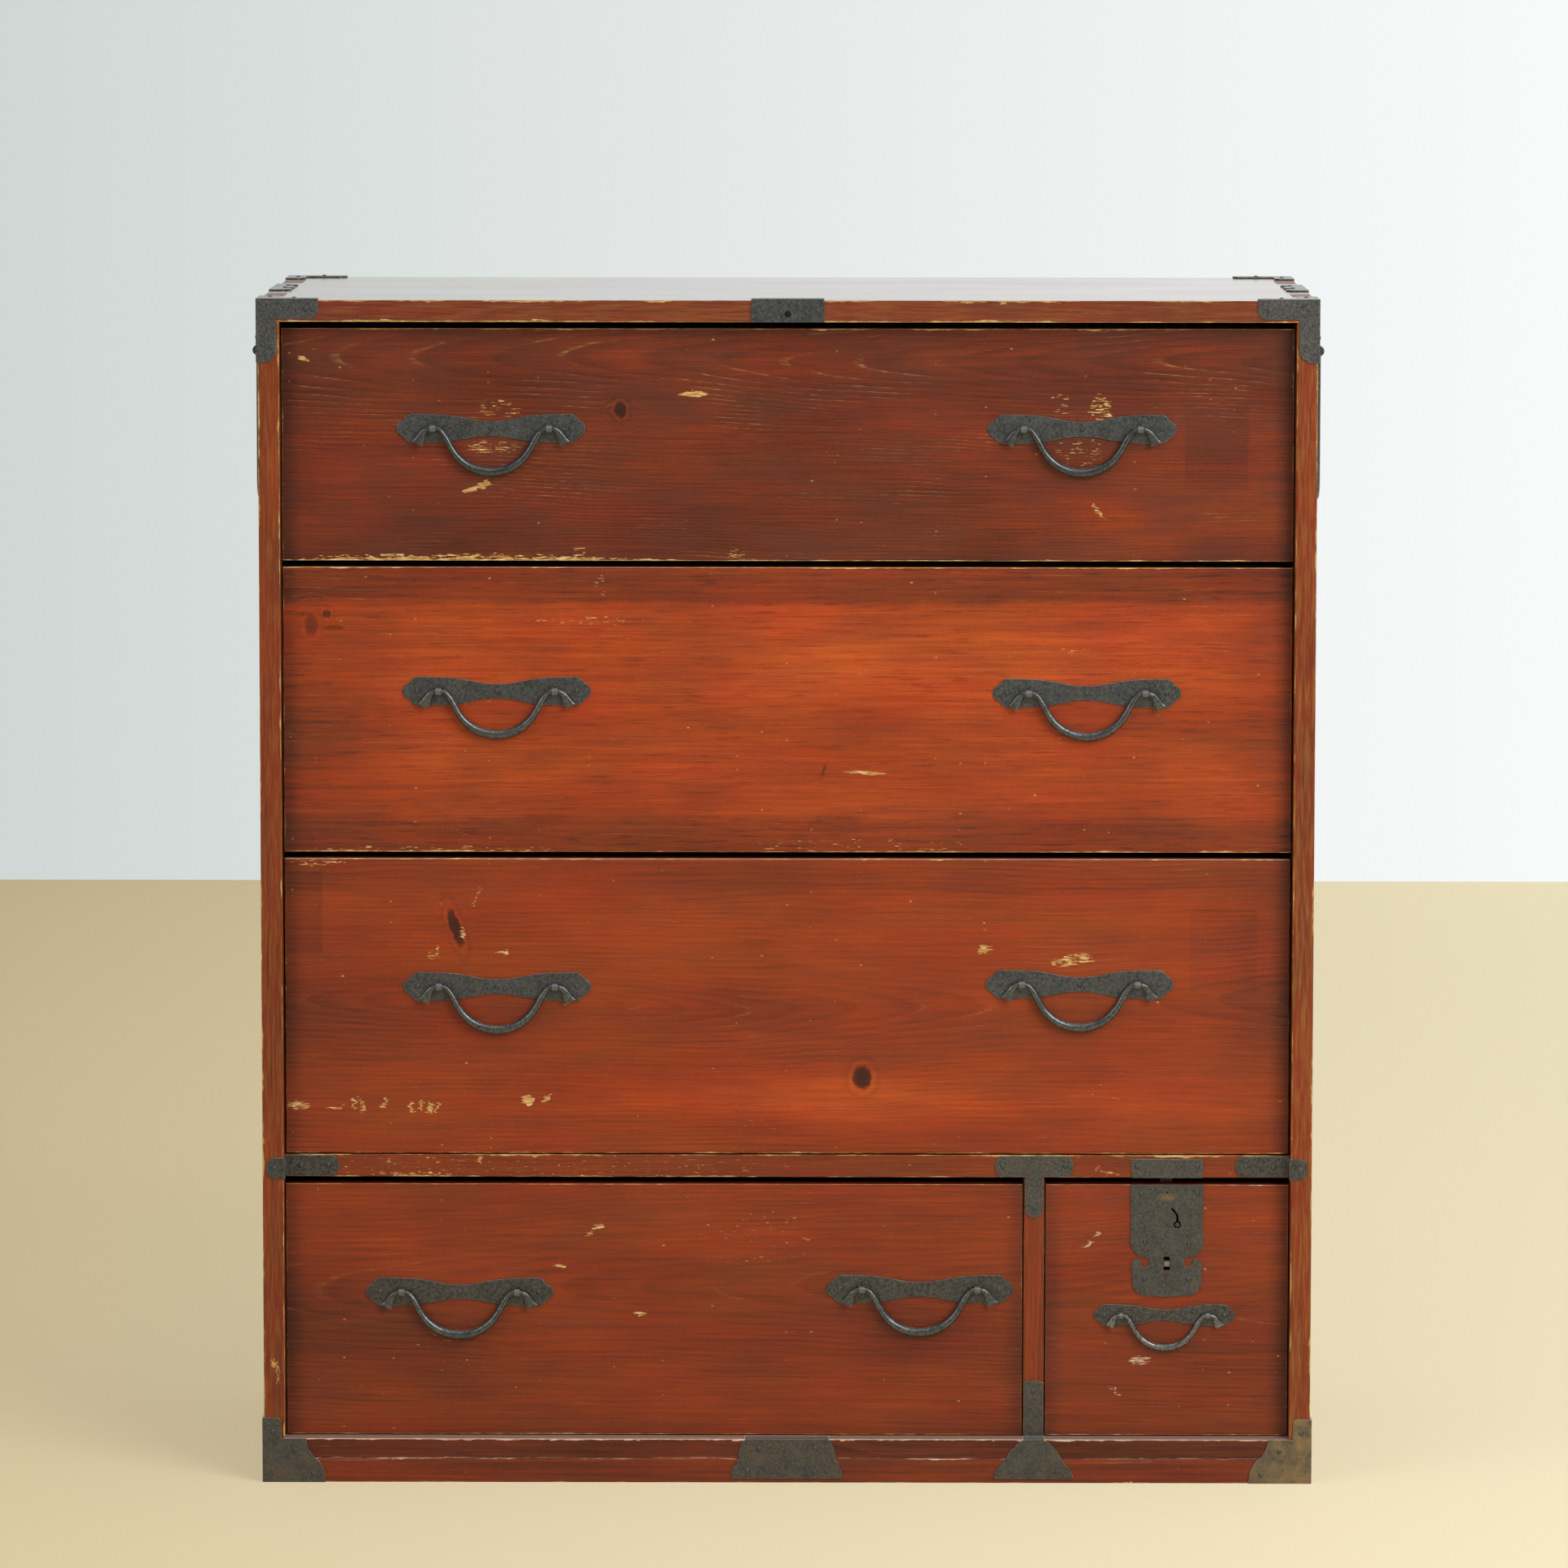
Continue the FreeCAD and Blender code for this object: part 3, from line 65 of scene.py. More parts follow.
# Maths nodes: kind and operation
PLUS, LESS, TIMES, TIMES_PLUS = "Math.ADD", "Math.SUBTRACT", "Math.MULTIPLY", "Math.MULTIPLY_ADD"
LEAST, MOST = "Math.MINIMUM", "Math.MAXIMUM"

# Setting of a range that starts and ends softly
SOFT = {"interpolation_type": "SMOOTHSTEP"}

# Face attribute that is 1 on an eased edge
ARRIS = "arris"

# Middle of a noise colour, taken off so that a shake goes both ways
NOISE_MIDDLE = (0.5, 0.5, 0.5)


def linear(shade: Shade) -> Colour:
    """Turns an sRGB hex colour into the linear colour that the shaders use.

    Args:
        shade: Six hex digits after a hash sign, or a grey level or colour that is linear already.

    Returns:
        Red, green, blue and alpha.
    """
    if isinstance(shade, tuple):
        return shade
    if not isinstance(shade, str):
        return shade, shade, shade, 1.0
    parts = [int(shade[i:i + 2], 16) / 255 for i in (1, 3, 5)]
    red, green, blue = (p / 12.92 if p <= 0.04045 else ((p + 0.055) / 1.055) ** 2.4 for p in parts)
    return red, green, blue, 1.0


@dataclass(frozen=True)
class Pattern:
    """A cloudy pattern of a real size.

    Attributes:
        size: Width of one cloud in millimetres.
        detail: How many finer layers the pattern has.
        shift: Moves the pattern away from the others of its material.
        stretch: How many times longer than wide a cloud is.
        spread: Noise levels that become 0 and 1.
    """

    size: float
    detail: float
    shift: int
    stretch: float = 1.0
    spread: tuple[float, float] = (0.3, 0.7)


class MaterialTree:
    """The node tree of one material, grown a node at a time."""

    # How far one step of a seed moves a pattern along each axis, in clouds
    SEED_STEPS = (17.3, 31.7, 7.9)
    NOISE_ROUGHNESS = 0.55

    def __init__(self, name: str, seed: float = 0.0) -> None:
        """Starts an empty material.

        Args:
            name: The material's name.
            seed: Seed of its patterns.
        """
        self.seed = seed
        self.material = bpy.data.materials.new(name)
        self.material.use_nodes = True
        self.tree = self.material.node_tree
        self.tree.nodes.clear()

    def add(self, kind: str, feeds: Feeds = (), out: str | int = 0,
            ramp: Iterable[tuple[float, Shade]] = (), **settings: object) -> Socket:
        """Adds one node with its settings and links.

        Args:
            kind: Blender's node type without its ShaderNode prefix; a maths node's operation follows a dot.
            feeds: Sockets, plain values or hex colours for the inputs, in order or by name.
            out: The output to hand back.
            ramp: Stops of a colour ramp, as place and shade.
            settings: Properties set on the node.

        Returns:
            The chosen output socket.
        """
        kind, _, operation = kind.partition(".")
        node = self.tree.nodes.new(f"ShaderNode{kind}")
        if operation:
            node.operation = operation
        for key, setting in settings.items():
            setattr(node, key, setting)
        for key, feed in feeds.items() if isinstance(feeds, Mapping) else enumerate(feeds):
            if isinstance(feed, Socket):
                self.tree.links.new(feed, node.inputs[key])
            else:
                node.inputs[key].default_value = linear(feed) if isinstance(feed, str) else feed
        for i, (place, shade) in enumerate(ramp):
            stops = node.color_ramp.elements
            stop = stops[i] if i < 2 else stops.new(place)
            stop.position = place
            stop.color = linear(shade)
        return node.outputs[out]

    def place_mm(self) -> Socket:
        """Hands back the place on the piece in millimetres."""
        here = self.add("TexCoord", out="Object")
        return self.add("VectorMath.SCALE", {0: here, "Scale": 1 / MM})

    def grit(self, where: Socket, pattern: Pattern) -> Socket:
        """Draws a pattern, drawn out along its first axis.

        Args:
            where: Place in millimetres.
            pattern: The pattern.

        Returns:
            A value from 0 to 1.
        """
        shift = [step * (self.seed + pattern.shift) for step in self.SEED_STEPS]
        scale = (1 / (pattern.size * pattern.stretch), 1 / pattern.size, 1 / pattern.size)
        spot = self.add("Mapping", (where, shift, (0.0, 0.0, 0.0), scale))
        cloud = self.add("TexNoise", {"Vector": spot, "Scale": 1.0, "Detail": pattern.detail,
                                      "Roughness": self.NOISE_ROUGHNESS})
        return self.add("MapRange", (cloud, *pattern.spread, 0.0, 1.0))

    def finish(self, **sockets: object) -> Material:
        """Closes the tree with a Principled shader.

        Args:
            sockets: Feeds of the shader, with underscores for the spaces in their names.

        Returns:
            The finished material.
        """
        return self.close(self.add("BsdfPrincipled", {key.replace("_", " "): feed for key, feed in sockets.items()}))

    def close(self, shader: Socket) -> Material:
        """Links a shader to the surface and hands back the material.

        Args:
            shader: The shader.

        Returns:
            The finished material.
        """
        output = self.tree.nodes.new("ShaderNodeOutputMaterial")
        self.tree.links.new(shader, output.inputs["Surface"])
        return self.material


class Grain(Enum):
    """Which axes run along, across and through a board's grain."""

    ACROSS = (0, 2, 1)
    LYING = (0, 1, 2)
    UPRIGHT = (2, 1, 0)
    INWARD = (1, 2, 0)


class BoardTree(MaterialTree):
    """The node tree of a board's material, with the place on the board in millimetres."""

    def __init__(self, name: str, grain: Grain, seed: float) -> None:
        """Starts a board's material.

        Args:
            name: The material's name.
            grain: How the grain runs.
            seed: Seed of its patterns.
        """
        super().__init__(name, seed)
        self.spot = self.place_mm()
        self.axes = self.add("SeparateXYZ", (self.spot,)).node.outputs
        self.grained = self.add("CombineXYZ", [self.axes[i] for i in grain.value])

    def along(self, pattern: Pattern) -> Socket:
        """Draws a pattern along the grain."""
        return self.grit(self.grained, pattern)


@dataclass(frozen=True)
class Rings:
    """Growth rings of the log that a board was sawn from, in millimetres."""

    spacing: float = 3.0
    contrast: float = 0.14
    pith: float = 0.0
    depth: float = 60.0
    middle: float = 0.0
    tilt: float = 0.0
    bow: float = 0.0


@dataclass(frozen=True)
class Mark:
    """A place on a front: its centre and size in millimetres, how strong it is, and its turn in degrees."""

    x: float
    z: float
    width: float
    height: float
    fill: float
    turn: float = 0.0

    # Half length along the depth, so that a mark goes right through a board
    THROUGH = 1e6

    def frame(self, tree: MaterialTree, spot: Socket) -> Socket:
        """Gives a place in the mark's own frame, where 1 is the mark's rim along each axis.

        Args:
            tree: The material's tree.
            spot: Place in millimetres.

        Returns:
            The place in units of the mark's half size.
        """
        return tree.add("Mapping", {"Vector": spot, "Location": (self.x, 0.0, self.z),
                                    "Rotation": (0.0, -math.radians(self.turn), 0.0),
                                    "Scale": (self.width / 2, self.THROUGH, self.height / 2)}, vector_type="TEXTURE")

    def reach(self, tree: MaterialTree, spot: Socket) -> Socket:
        """Measures how far a place lies from the mark's centre, where 1 is the mark's rim."""
        return tree.add("VectorMath.LENGTH", (self.frame(tree, spot),), out=1)


Marks = tuple[Mark, ...]


def marks(*rows: Sequence[float]) -> Marks:
    """Makes marks from rows of their fields."""
    return tuple(Mark(*row) for row in rows)


class BareWood(Enum):
    """Shades of wood laid bare, from its shaded to its lit splinters."""

    OCHRE = ((0, "#7d5a30"), (0.5, "#a9803f"), (1, "#d2ae6c"))
    GOLDEN = ((0, "#8a6032"), (0.5, "#b98d4c"), (1, "#e0c48f"))
    PALE = ((0, "#8d6a4c"), (0.5, "#b9977a"), (1, "#e0cdb8"))


@dataclass(frozen=True)
class LacqueredCedar:
    """Cedar, planed and stained, with clear red-brown lacquer that is rubbed through on its arrises.

    The eye sees fine fibres, darker late-wood lines and slow streaks under a satin film, and pale wood
    where the film has chipped, flecked or worn away.
    """

    name: str
    grain: Grain = Grain.ACROSS
    rings: Rings = Rings()
    level: float = 0.5
    bands: tuple[tuple[float, float], ...] = ((0.0, 0.5), (1.0, 0.5))
    patches: Marks = ()
    knots: Marks = ()
    chips: Marks = ()
    ghosts: Marks = ()
    rubs: Marks = ()
    rim: float = 0.45
    wear: float = 1.4
    bare: BareWood = BareWood.OCHRE
    patina: float = 0.0
    streaks: float = 0.1
    dashes: float = 0.05
    hairs: float = 0.15
    haze: float = 0.3
    # Strength of the painted shade at the left and right ends, where the recess shades a drawer
    end_shade: float = 0.0
    # Strength of the painted highlight on eased edges that face up, and of the painted reflection on open upper
    # faces
    edge_highlight: float = 0.0
    face_reflection: float = 0.0
    gloss: float = 0.0
    seed: float = 0.0

    SHADES = ((0, "#301209"), (0.2, "#4a1d0f"), (0.35, "#622611"), (0.5, "#7a2e10"), (0.75, "#9a3910"),
              (1, "#b84d1b"))
    OLD = "#94682f"
    HAZE = "#4e2a1f"
    # Pale colour of the painted highlight and painted reflection on faces that look up
    DUST_AND_SHEEN = "#e8cdbb"
    KNOT = "#26110b"
    KNOT_CORE = ((0, 1), (0.36, 0.9), (0.5, 0))
    KNOT_HALO = ((0, 0.5), (0.46, 0.5), (0.53, 0.57), (0.62, 0.55), (0.74, 0.42), (1, 0.5))

    FIBRES = Pattern(1, 3, 1, 60)
    STREAKS = Pattern(4, 5, 2, 40)
    CLOUDS = Pattern(75, 4, 3, 2.2)
    MOTTLES = Pattern(1.3, 2, 14, 2.5)
    DASHES = Pattern(2.2, 3, 12, 12, spread=(0.56, 0.7))
    WARMTH = Pattern(45, 4, 13, 3)
    DULLED = Pattern(26, 5, 17, 3, spread=(0.42, 0.72))
    AGED = Pattern(1.8, 5, 4, 14, spread=(0.44, 0.74))
    PLANED = Pattern(40, 1, 10, 3)
    SWAYED = Pattern(90, 3, 0, 4)
    WAVERED = Pattern(60, 3, 11)
    SHOWN = Pattern(40, 3, 16, 3)
    KNOCKED = Pattern(26, 2, 5, 2, spread=(0.42, 0.68))
    RAGGED = Pattern(1.8, 6, 15, 5)
    SHARDS = Pattern(1.1, 4, 6, 6)
    CHIPPED = Pattern(120, 2, 7, spread=(0.42, 0.72))
    SPARSE = Pattern(30, 5, 9, 3, spread=(0.52, 0.68))

    # Level of a ramp that leaves the tone as it is
    EVEN = 0.5

    # What each layer adds to the tone, and the average of late wood and dashes, which the level is cleared of
    FIBRE_SHARE, MOTTLE_SHARE, CLOUD_SHARE = 0.17, 0.07, 0.15
    LATE_MEAN, DASH_MEAN = 0.15, 0.2
    HUES = (0.497, 0.505)

    # Roughness of the film, and what clouds, gloss and bare wood change in it
    SATIN, CLOUDED, GLOSSED, ROUGHENED, COAT = 0.33, 0.1, 0.18, 0.25, 0.16
    FIBRE_RISE, BARE_RISE = 0.5, -1.2
    GRAIN_BUMP = {"Strength": 0.25, "Distance": 0.1 * MM}
    PLANE_BUMP = {"Strength": 0.4, "Distance": 0.2 * MM}

    # How far grain and bands stray in millimetres, and how knots are shaken and bend the grain
    SWAY, WAVER = 12, 5
    KNOT_SHAKE = {"Scale": 0.2, "Detail": 3}
    KNOT_STRAY = (5, 0, 5)
    KNOT_SCALE = 0.5
    KNOT_BEND = (1.6, 0.35, 0, 0.85)

    # Shares of a ring where late wood comes, goes, and leaves a hair line; run of the bow's round top
    LATE_COMES, LATE_GOES, RING_END = (0.3, 0.9, 0, 1), (0.9, 1, 1, 0), (0.03, 0.15, 1, 0)
    BOW_RUN = 60

    # Where the rims of marks fade, in units of the mark; how far in millimetres the painted shade at the ends
    # reaches and the wear there is held back; the upward facing that takes the painted highlight and reflection
    PATCH_FADE, GHOST_FADE, RUB_FADE, CHIP_FADE = (1, 0.1), (1.03, 0.97), (1, 0.5), (1.05, 0.7)
    GRIME_REACH, GRIME_KEEPS, GRIME_HOLD = 18, 6, 5
    FACING_UP = (0.03, 0.4, 0, 1)

    # Worn arrises, torn chips and scattered flecks
    WORN_THROUGH = (0, 0.3, 0, 0.85)
    TEAR_STEP, TEAR_SCALE, TEAR_DETAIL, TEAR_STRAY = 5.3, (0.14, 0.55, 0.55), 4, (16, 0, 5)
    STRAY_CHIPS, SHARD_SHARE, FLAKED = 0.145, 0.5, (0.62, 0.66, 0, 1)
    FLECK_DRAW, FLECK_PITCH, FLECK_ODDS = (0.6, 1, 1), 12, 9
    FLECK_TAPER, FLECK_FADE = -12, (0, 0.6, 0, 0.55)

    def material(self, low: Vector, high: Vector) -> Material:
        """Builds the material for a board.

        Args:
            low: Lowest corner of the board in metres.
            high: Highest corner of the board in metres.

        Returns:
            The finished material.
        """
        board = BoardTree(f"lacquered_cedar_{self.name}", self.grain, self.seed)
        add = board.add
        gaps = self.gaps(board, low / MM, high / MM)
        fibre, cloud = map(board.along, (self.FIBRES, self.CLOUDS))
        heart, halo, lane = self.knotted(board)
        late, hair = self.late_wood(board, lane)
        drift = add(PLUS, (self.drift(board, gaps[0], low.z / MM, high.z / MM), halo))
        colour = self.stained(board, late, fibre, cloud, drift)
        colour = add("Mix", {0: heart, MIX_A: colour, MIX_B: self.KNOT}, **MIXED)
        bare, splinter = self.bare_wood(board, gaps, hair)
        wood = add("ValToRGB", (splinter,), ramp=self.bare.value)
        colour = add("Mix", {0: bare, MIX_A: colour, MIX_B: wood}, **MIXED)

        film = add(TIMES_PLUS, (cloud, self.CLOUDED, self.SATIN - self.GLOSSED * self.gloss))
        roughness = add(TIMES_PLUS, (bare, self.ROUGHENED, film))
        height = add(TIMES_PLUS, (fibre, self.FIBRE_RISE, late))
        height = add(TIMES_PLUS, (bare, self.BARE_RISE, height))
        fine = add("Bump", {**self.GRAIN_BUMP, "Height": height})
        normal = add("Bump", {**self.PLANE_BUMP, "Height": board.along(self.PLANED), "Normal": fine})
        return board.finish(Base_Color=colour, Roughness=roughness, Normal=normal, IOR=1.5, Specular_IOR_Level=0.3,
                            Coat_Weight=self.gloss, Coat_Roughness=self.COAT)

    def gaps(self, board: BoardTree, low: Vector, high: Vector) -> list[Socket]:
        """Measures how far a place on a board lies from the board's ends along each axis.

        Args:
            board: The board's tree.
            low: Lowest corner in millimetres.
            high: Highest corner in millimetres.

        Returns:
            The three distances in millimetres.
        """
        add = board.add
        gaps = []
        for axis, near, far in zip(board.axes, low, high):
            inward = add(LESS, (axis, near))
            gaps.append(add(LEAST, (inward, add(LESS, (far, axis)))))
        return gaps

    def knotted(self, board: BoardTree) -> tuple[Socket, Socket, Socket]:
        """Places the knots and bends the grain round them.

        Args:
            board: The board's tree.

        Returns:
            How far a place is into a knot, what the knots' rims add to the tone, and the place across the grain
            as the bent grain has it.
        """
        add = board.add
        across = add("SeparateXYZ", (board.grained,)).node.outputs[1]
        lane = add(TIMES_PLUS, (board.along(self.SWAYED), self.SWAY, across))
        shake = add("TexNoise", {"Vector": board.spot, **self.KNOT_SHAKE}, out=1)
        shake = add("VectorMath.SUBTRACT", (shake, NOISE_MIDDLE))
        uneven = add("VectorMath.MULTIPLY_ADD", (shake, self.KNOT_STRAY, board.spot))
        heart = halo = add(PLUS, (0.0, 0.0))
        for knot in self.knots:
            reach = add(TIMES, (knot.reach(board, uneven), self.KNOT_SCALE))
            bend = add("MapRange", (reach, *self.KNOT_BEND), **SOFT)
            aside = add(LESS, (across, knot.z))
            lane = add(LESS, (lane, add(TIMES, (aside, bend))))
            core = add("ValToRGB", (reach,), ramp=self.KNOT_CORE)
            core = add(TIMES, (core, knot.fill))
            heart = add(MOST, (heart, core))
            rim = add("ValToRGB", (reach,), ramp=self.KNOT_HALO)
            rim = add(TIMES_PLUS, (rim, knot.fill, -self.EVEN * knot.fill))
            halo = add(PLUS, (halo, rim))
        return heart, halo, lane

    def late_wood(self, board: BoardTree, lane: Socket) -> tuple[Socket, Socket]:
        """Draws the growth rings of a log whose pith lies below the face.

        Args:
            board: The board's tree.
            lane: Place across the bent grain.

        Returns:
            How far a place is into late wood, and the hair line where a ring ends.
        """
        add, rings = board.add, self.rings
        along, _, deep = add("SeparateXYZ", (board.grained,)).node.outputs
        offset = add(LESS, (lane, rings.pith + self.SWAY / 2))
        run = add(LESS, (along, rings.middle))
        away = add("VectorMath.LENGTH", (add("CombineXYZ", (run, self.BOW_RUN, 0.0)),), out=1)
        sunk = add(TIMES_PLUS, (run, rings.tilt, rings.depth))
        sunk = add(TIMES_PLUS, (away, rings.bow, sunk))
        sunk = add(PLUS, (sunk, deep))
        radius = add("VectorMath.LENGTH", (add("CombineXYZ", (offset, sunk, 0.0)),), out=1)
        step = add("Math.FRACT", (add(TIMES, (radius, 1 / rings.spacing)),))
        rise = add("MapRange", (step, *self.LATE_COMES), **SOFT)
        fall = add("MapRange", (step, *self.LATE_GOES))
        shown = board.along(self.SHOWN)
        late = add(TIMES, (add(TIMES, (rise, fall)), shown))
        return late, add("MapRange", (step, *self.RING_END))

    def drift(self, board: BoardTree, ends: Socket, low: float, high: float) -> Socket:
        """Draws the board's bands and patches, among them painted shade round a drawer's handles, painted shade at
        its ends where the recess shades them, and marks that a label or fitting left.

        Args:
            board: The board's tree.
            ends: Distance from the board's left or right end in millimetres.
            low: Height of the board's lower edge in millimetres.
            high: Height of its upper edge.

        Returns:
            What they add to the tone.
        """
        add = board.add
        waver = board.grit(board.spot, self.WAVERED)
        height = add(TIMES_PLUS, (waver, self.WAVER, board.axes[2]))
        height = add("MapRange", (height, low + self.WAVER / 2, high + self.WAVER / 2, 0.0, 1.0))
        tone = add("ValToRGB", (height,), ramp=self.bands)
        # Painted shade at the left and right ends, where the recess around a drawer shades it
        painted_end_shade = add("MapRange", (ends, 0.0, self.GRIME_REACH, -self.end_shade, 0.0), **SOFT)
        tone = add(PLUS, (tone, painted_end_shade))
        for patch in self.patches:
            lift = add("MapRange", (patch.reach(board, board.spot), *self.PATCH_FADE, 0.0, patch.fill), **SOFT)
            tone = add(PLUS, (tone, lift))
        for ghost in self.ghosts:
            local = add("VectorMath.ABSOLUTE", (ghost.frame(board, board.spot),))
            sides = add("SeparateXYZ", (local,)).node.outputs
            rim = add(MOST, (sides[0], sides[2]))
            shade = add("MapRange", (rim, *self.GHOST_FADE, 0.0, ghost.fill))
            tone = add(LESS, (tone, shade))
        return tone

    def stained(self, board: BoardTree, late: Socket, fibre: Socket, cloud: Socket, drift: Socket) -> Socket:
        """Colours the lacquered wood from its grain, streaks and clouds, with a painted highlight on eased edges
        that face up and a painted reflection on open upper faces.

        Args:
            board: The board's tree.
            late: Share of late wood.
            fibre: Fine fibres.
            cloud: Slow clouds.
            drift: Tone of the board's bands.

        Returns:
            The colour.
        """
        add = board.add
        streak, mottle, dash = map(board.along, (self.STREAKS, self.MOTTLES, self.DASHES))
        start = (self.level - self.EVEN + self.LATE_MEAN * self.rings.contrast + self.DASH_MEAN * self.dashes
                 - (self.FIBRE_SHARE + self.MOTTLE_SHARE + self.streaks + self.CLOUD_SHARE) / 2)
        tone = add(PLUS, (drift, start))
        layers = ((fibre, self.FIBRE_SHARE), (mottle, self.MOTTLE_SHARE), (streak, self.streaks),
                  (cloud, self.CLOUD_SHARE), (late, -self.rings.contrast), (dash, -self.dashes))
        for layer, share in layers:
            tone = add(TIMES_PLUS, (layer, share, tone))
        colour = add("ValToRGB", (tone,), ramp=self.SHADES)
        hue = add("MapRange", (board.along(self.WARMTH), 0.0, 1.0, *self.HUES))
        colour = add("HueSaturation", {"Hue": hue, "Color": colour})
        dull, old = map(board.along, (self.DULLED, self.AGED))
        for layer, share, tint in ((dull, self.haze, self.HAZE), (old, self.patina, self.OLD)):
            layer = add(TIMES, (layer, share))
            colour = add("Mix", {0: layer, MIX_A: colour, MIX_B: tint}, **MIXED)

        # Painted highlight on the eased edge that faces up, and a painted reflection of the room on an open upper
        # face
        up = add("SeparateXYZ", (add("TexCoord", out="Normal"),)).node.outputs[2]
        up = add("MapRange", (up, *self.FACING_UP))
        edge = add("Attribute", out="Fac", attribute_name=ARRIS)
        share = add(TIMES_PLUS, (edge, self.edge_highlight - self.face_reflection, self.face_reflection))
        painted_sheen = add(TIMES, (share, up))
        return add("Mix", {0: painted_sheen, MIX_A: colour, MIX_B: self.DUST_AND_SHEEN}, **MIXED)

    def bare_wood(self, board: BoardTree, gaps: Sequence[Socket], hair: Socket) -> tuple[Socket, Socket]:
        """Finds where the lacquer is gone: rubbed arrises, chips, scattered flecks and hair-fine ridges.

        Args:
            board: The board's tree.
            gaps: Distances from the board's ends along each axis in millimetres.
            hair: Hair lines where rings end.

        Returns:
            The share of bare wood, and the pattern of its splinters.
        """
        add = board.add
        least = add(LEAST, gaps[:2])
        most = add(MOST, gaps[:2])
        edge = add(MOST, (least, add(LEAST, (most, gaps[2]))))
        knocked, ragged = map(board.along, (self.KNOCKED, self.RAGGED))
        reach = add(TIMES_PLUS, (add(TIMES, (knocked, ragged)), self.wear, self.rim))
        for rub in self.rubs:
            inside = add("MapRange", (rub.reach(board, board.spot), *self.RUB_FADE, 0.0, rub.fill))
            keen = add(TIMES, (ragged, ragged))
            reach = add(TIMES_PLUS, (keen, inside, reach))
        bare = add("MapRange", (add(LESS, (reach, edge)), *self.WORN_THROUGH))
        # Wear is held back within a few millimetres of the left and right ends, which the painted end shade darkens
        kept = add("MapRange", (gaps[0], 0.0, self.GRIME_KEEPS, 1.0 - self.GRIME_HOLD * self.end_shade, 1.0))
        bare = add(TIMES, (bare, kept))

        # Chips are torn along the grain, so the place is shaken before it is measured
        moved = (self.TEAR_STEP * self.seed, 0.0, 0.0)
        fine = add("Mapping", (board.grained, moved, (0.0, 0.0, 0.0), self.TEAR_SCALE))
        shake = add("TexNoise", {"Vector": fine, "Scale": 1.0, "Detail": self.TEAR_DETAIL}, out=1)
        shake = add("VectorMath.SUBTRACT", (shake, NOISE_MIDDLE))
        torn = add("VectorMath.MULTIPLY_ADD", (shake, self.TEAR_STRAY, board.spot))
        shard = board.along(self.SHARDS)
        density = add(TIMES, (board.along(self.CHIPPED), self.STRAY_CHIPS))
        for chip in self.chips:
            inside = add("MapRange", (chip.reach(board, torn), *self.CHIP_FADE, 0.0, chip.fill))
            density = add(MOST, (density, inside))
        flaked = add(TIMES_PLUS, (shard, self.SHARD_SHARE, density))
        bare = add(MOST, (bare, add("MapRange", (flaked, *self.FLAKED))))

        # Flecks are a millimetre or less, one to every few centimetres
        drawn = add("VectorMath.MULTIPLY", (board.grained, self.FLECK_DRAW))
        cells = add("TexVoronoi", {"Vector": drawn, "Scale": 1 / self.FLECK_PITCH}, voronoi_dimensions="2D")
        cell = cells.node.outputs
        chance = add("Math.POWER", (add("SeparateXYZ", (cell["Color"],)), self.FLECK_ODDS))
        inside = add(TIMES_PLUS, (cell["Distance"], self.FLECK_TAPER, chance))
        bare = add(MOST, (bare, add("MapRange", (inside, *self.FLECK_FADE))))
        sparse = board.along(self.SPARSE)
        for layer in (sparse, ragged, self.hairs):
            hair = add(TIMES, (hair, layer))
        return add(MOST, (bare, hair)), ragged


@dataclass(frozen=True)
class PlanedPaulownia:
    """Paulownia left as the plane left it, greyed by age, for drawer boxes, back and runners.

    The eye sees a dull pale brown with soft long grain and no gloss, and dark seams where planks meet.
    """

    name: str
    grain: Grain
    seed: float = 0.0
    seams: tuple[float, ...] = ()

    SHADES = ((0, "#5d452c"), (0.4, "#86683f"), (0.7, "#a4855a"), (1, "#bfa274"))
    FIBRES = Pattern(1, 3, 0, 60)
    STREAKS = Pattern(5, 4, 1, 70)
    CLOUDS = Pattern(90, 3, 2, 4)
    FIBRE_BUMP = {"Strength": 0.3, "Distance": 0.15 * MM}

    # Darkest tone, and what fibres, streaks, clouds, eased edges and each next plank add to it
    GROUND, FIBRE_SHARE, STREAK_SHARE, CLOUD_SHARE, EDGE_SHARE, PLANK_SHARE = 0.05, 0.34, 0.4, 0.2, 0.12, 0.07
    SEAM_FADE = (0.4, 1.2, 0.5, 0)

    def material(self) -> Material:
        """Builds the material.

        Returns:
            The finished material.
        """
        board = BoardTree(f"planed_paulownia_{self.name}", self.grain, self.seed)
        add = board.add
        fibre, streak, cloud = map(board.along, (self.FIBRES, self.STREAKS, self.CLOUDS))
        tone = add(TIMES_PLUS, (fibre, self.FIBRE_SHARE, self.GROUND))
        for share, layer in ((self.STREAK_SHARE, streak), (self.CLOUD_SHARE, cloud)):
            tone = add(TIMES_PLUS, (layer, share, tone))

        # Each plank has its own shade, and a dark line where it meets the next
        for seam in self.seams:
            past = add(LESS, (board.axes[0], seam))
            beyond = add("Math.GREATER_THAN", (past, 0.0))
            tone = add(TIMES_PLUS, (beyond, self.PLANK_SHARE, tone))
            gap = add("Math.ABSOLUTE", (past,))
            tone = add(LESS, (tone, add("MapRange", (gap, *self.SEAM_FADE))))
        arris = add("Attribute", out="Fac", attribute_name=ARRIS)
        tone = add(TIMES_PLUS, (arris, self.EDGE_SHARE, tone))
        colour = add("ValToRGB", (tone,), ramp=self.SHADES)
        normal = add("Bump", {**self.FIBRE_BUMP, "Height": fibre})
        return board.finish(Base_Color=colour, Roughness=0.72, Normal=normal, IOR=1.5)


